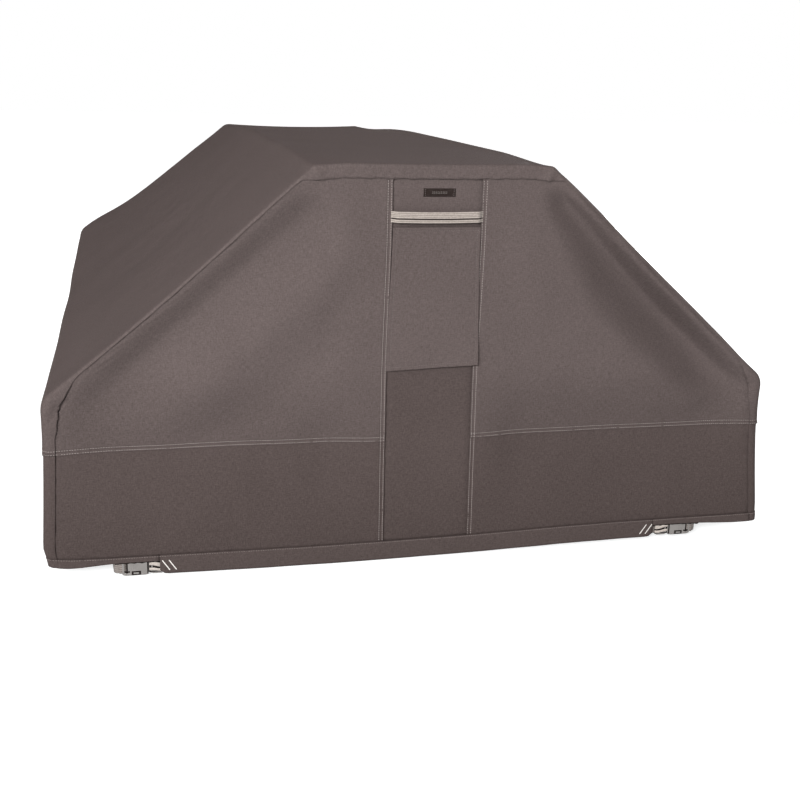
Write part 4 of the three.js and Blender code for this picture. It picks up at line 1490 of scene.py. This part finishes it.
def make_webbing(end, side, corner):
    """The loop round the leg, the plug's tail and the tab sewn behind the hem."""
    loop_low, loop_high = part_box(f"{corner}_leg_loop")
    socket_low, socket_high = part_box(f"{corner}_buckle_socket")
    plug_low, plug_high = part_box(f"{corner}_buckle_plug")
    tail_low, tail_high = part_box(f"{corner}_plug_tail")
    tab_low, tab_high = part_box(f"{corner}_strap_tab")
    shift = strap_shift(side, end)
    near = (tail_low.y + tail_high.y) / 2
    thickness = 0.0015

    def outer(low, high):
        return high.x if side > 0 else low.x

    def inner(low, high):
        return low.x if side > 0 else high.x

    def rigid(x, y):
        return shift

    def eases_in(x, y):
        return shift * float(ramp(abs(y), HALF_LENGTH - 0.075, HALF_LENGTH - 0.012))

    far = (loop_low.y if end > 0 else loop_high.y) - end * 0.0008
    out_x = outer(loop_low, loop_high) - side * 0.0120
    start_x = outer(socket_low, socket_high) - side * 0.0075
    sewn_y = (tab_low.y + tab_high.y) / 2
    sewn_x = inner(loop_low, loop_high)
    corners = [
        (start_x, near + end * 0.0005),
        (out_x, near),
        (out_x, far),
        (side * 0.419, far),
        (side * 0.384, sewn_y),
        (sewn_x, sewn_y),
    ]
    route = eased(corners, 0.011)
    loop = strap_ribbon(f"{corner}_loop_webbing", route, loop_low.z, loop_high.z, eases_in, thickness)
    # The end turned back round the socket's bar.
    bar_x = outer(socket_low, socket_high) - side * 0.0018
    deep, wide = near - end * 0.0032, near + end * 0.0032
    turned = [
        (bar_x + side * 0.0075, deep),
        (bar_x - side * 0.0040, deep),
        (bar_x - side * 0.0040, wide),
        (bar_x + side * 0.0070, wide),
    ]
    turn = eased(turned, 0.003)
    fold = strap_ribbon(f"{corner}_loop_fold", turn, loop_low.z, loop_high.z, rigid, 0.0012)
    # The tab starts inside the plug's travel, so that the plug slides clear of it.
    tab_xs = sorted([inner(tab_low, tab_high), outer(tab_low, tab_high) - side * 0.024])
    tab_route = [Vector((x, sewn_y)) for x in tab_xs]
    tab = strap_ribbon(f"{corner}_tab_webbing", tab_route, tab_low.z, tab_high.z, rigid, thickness)
    for piece, node in ((loop, "leg_loop"), (tab, "strap_tab")):
        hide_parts(f"{corner}_{node}")
    for piece in (loop, fold, tab):
        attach(piece, "cover")
    tail_start = inner(plug_low, plug_high) + side * 0.0055
    tail_end = inner(tail_low, tail_high)
    tail_route = [Vector((tail_start, near)), Vector((tail_end, near))]
    tail = strap_ribbon(f"{corner}_tail_webbing", tail_route, tail_low.z, tail_high.z, rigid, thickness)
    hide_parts(f"{corner}_plug_tail")
    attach(tail, f"{corner}_plug")
    make_plug_folds(end, side, corner, shift)
    make_painted_hem_shadow(end, side, corner)


def make_plug_folds(end, side, corner, shift):
    """The webbing's end, turned back over the front of the plug in two slanting folds."""
    plug_low, plug_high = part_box(f"{corner}_buckle_plug")
    face = plug_low.y if end < 0 else plug_high.y
    start, stop = FOLDS_FROM, FOLDS_TO
    for label, centre_from, centre_to, height in (
        ("upper", 0.0225, 0.0180, 0.0072), ("lower", 0.0115, 0.0090, 0.0050)
    ):
        along = np.linspace(0.0, 1.0, 16)
        xs = side * (start + (stop - start) * along)
        middle = centre_from + (centre_to - centre_from) * along + 0.0006 * np.sin(along * 7.0)
        rows = np.linspace(-0.5, 0.5, 9)
        places = np.array(
            [[(x + shift.x, face, z + r * height + shift.z) for x, z in zip(xs, middle)] for r in rows]
        )
        away = 0.0017 + 0.0006 * np.sin(along * math.pi) - 0.0010 * ramp(along, 0.88, 1.0)
        rise = (
            np.broadcast_to(away, places.shape[:2]) + 0.0005 * np.cos(rows * math.pi)[:, None]
            + abs(shift.y)
        )
        uv = np.array([[(abs(x), r * height) for x in xs] for r in rows])
        fold = cloth_piece(
            f"{corner}_plug_fold_{label}", places, face_normals(places.shape[:2], end), rise, uv, FOLD_LOOK,
            0.0011, free=True,
        )
        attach(fold, f"{corner}_plug")


def make_painted_hem_shadow(end, side, corner):
    """Painted shadow: a dark strip behind the hem's lower edge over the buckle, where the strap is let in,
    standing in for the shade under the hem.
    """
    socket_low, socket_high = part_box(f"{corner}_buckle_socket")
    reach = max(abs(socket_low.x), abs(socket_high.x)) - abs(strap_shift(side, end).x)
    inner, outer = hem_reach(end, side) + 0.0010, reach + 0.006
    xs = [side * x for x in stations(inner, outer, 0.004)]

    def heights(x):
        edge = float(outer_hem_edge(x, side * end > 0))
        ragged = 0.0005 * math.sin(abs(x) * 520.0) + 0.0004 * math.sin(abs(x) * 1130.0 + side)
        return np.linspace(edge - 0.0034 + ragged, edge + 0.0060, 6)

    def rise(x, z):
        return HEM_RISE - HEM_CLOTH - 0.0008 + 0.0002 * np.sin(x * 300.0)

    painted_shadow_strip = end_sheet(f"{corner}_painted_hem_shadow", xs, heights, end, rise, PAINTED_SHADOW, 0.0008)
    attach(painted_shadow_strip, "cover")


def make_bartacks(end, side, corner):
    """Two slanted bars of thread that fix the strap behind the end of the deep hem."""
    rows = []
    for k in (0, 1):
        x = side * (hem_reach(end, side) - (0.0040 if side * end > 0 else 0.0025) - 0.0112 * k)
        top, bottom = (x, HEM_SEAM - 0.0095), (x - side * 0.0125, HEM_SEAM - 0.0285)
        rows.append(on_end(end, even(top, bottom, 0.002), HEM_RISE + 0.0011))
    bars = thread_piece(
        f"{corner}_bartacks", rows, WHITE_THREAD, length=0.0022, radius=0.00042, pitch=0.0006,
        turn=math.pi / 2,
    )
    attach(bars, "cover")


def make_straps():
    for end, end_word in ((-1, "front"), (1, "back")):
        for side, side_word in ((-1, "left"), (1, "right")):
            corner = f"{end_word}_{side_word}"
            make_buckle(end, side, corner)
            make_webbing(end, side, corner)
            make_bartacks(end, side, corner)


# ---------------------------------------------------------------- build

make_main_panel()
make_sides()
for END, WORD in ((-1, "front"), (1, "back")):
    make_gores(END, WORD)
    make_end_skirts(END, WORD)
    make_hems(END, WORD)
    make_column(END, WORD)
    make_vent_mesh(END, WORD)
    make_flap(END, WORD)
    make_handle(END, WORD)
make_label()
make_topstitching()
make_straps()
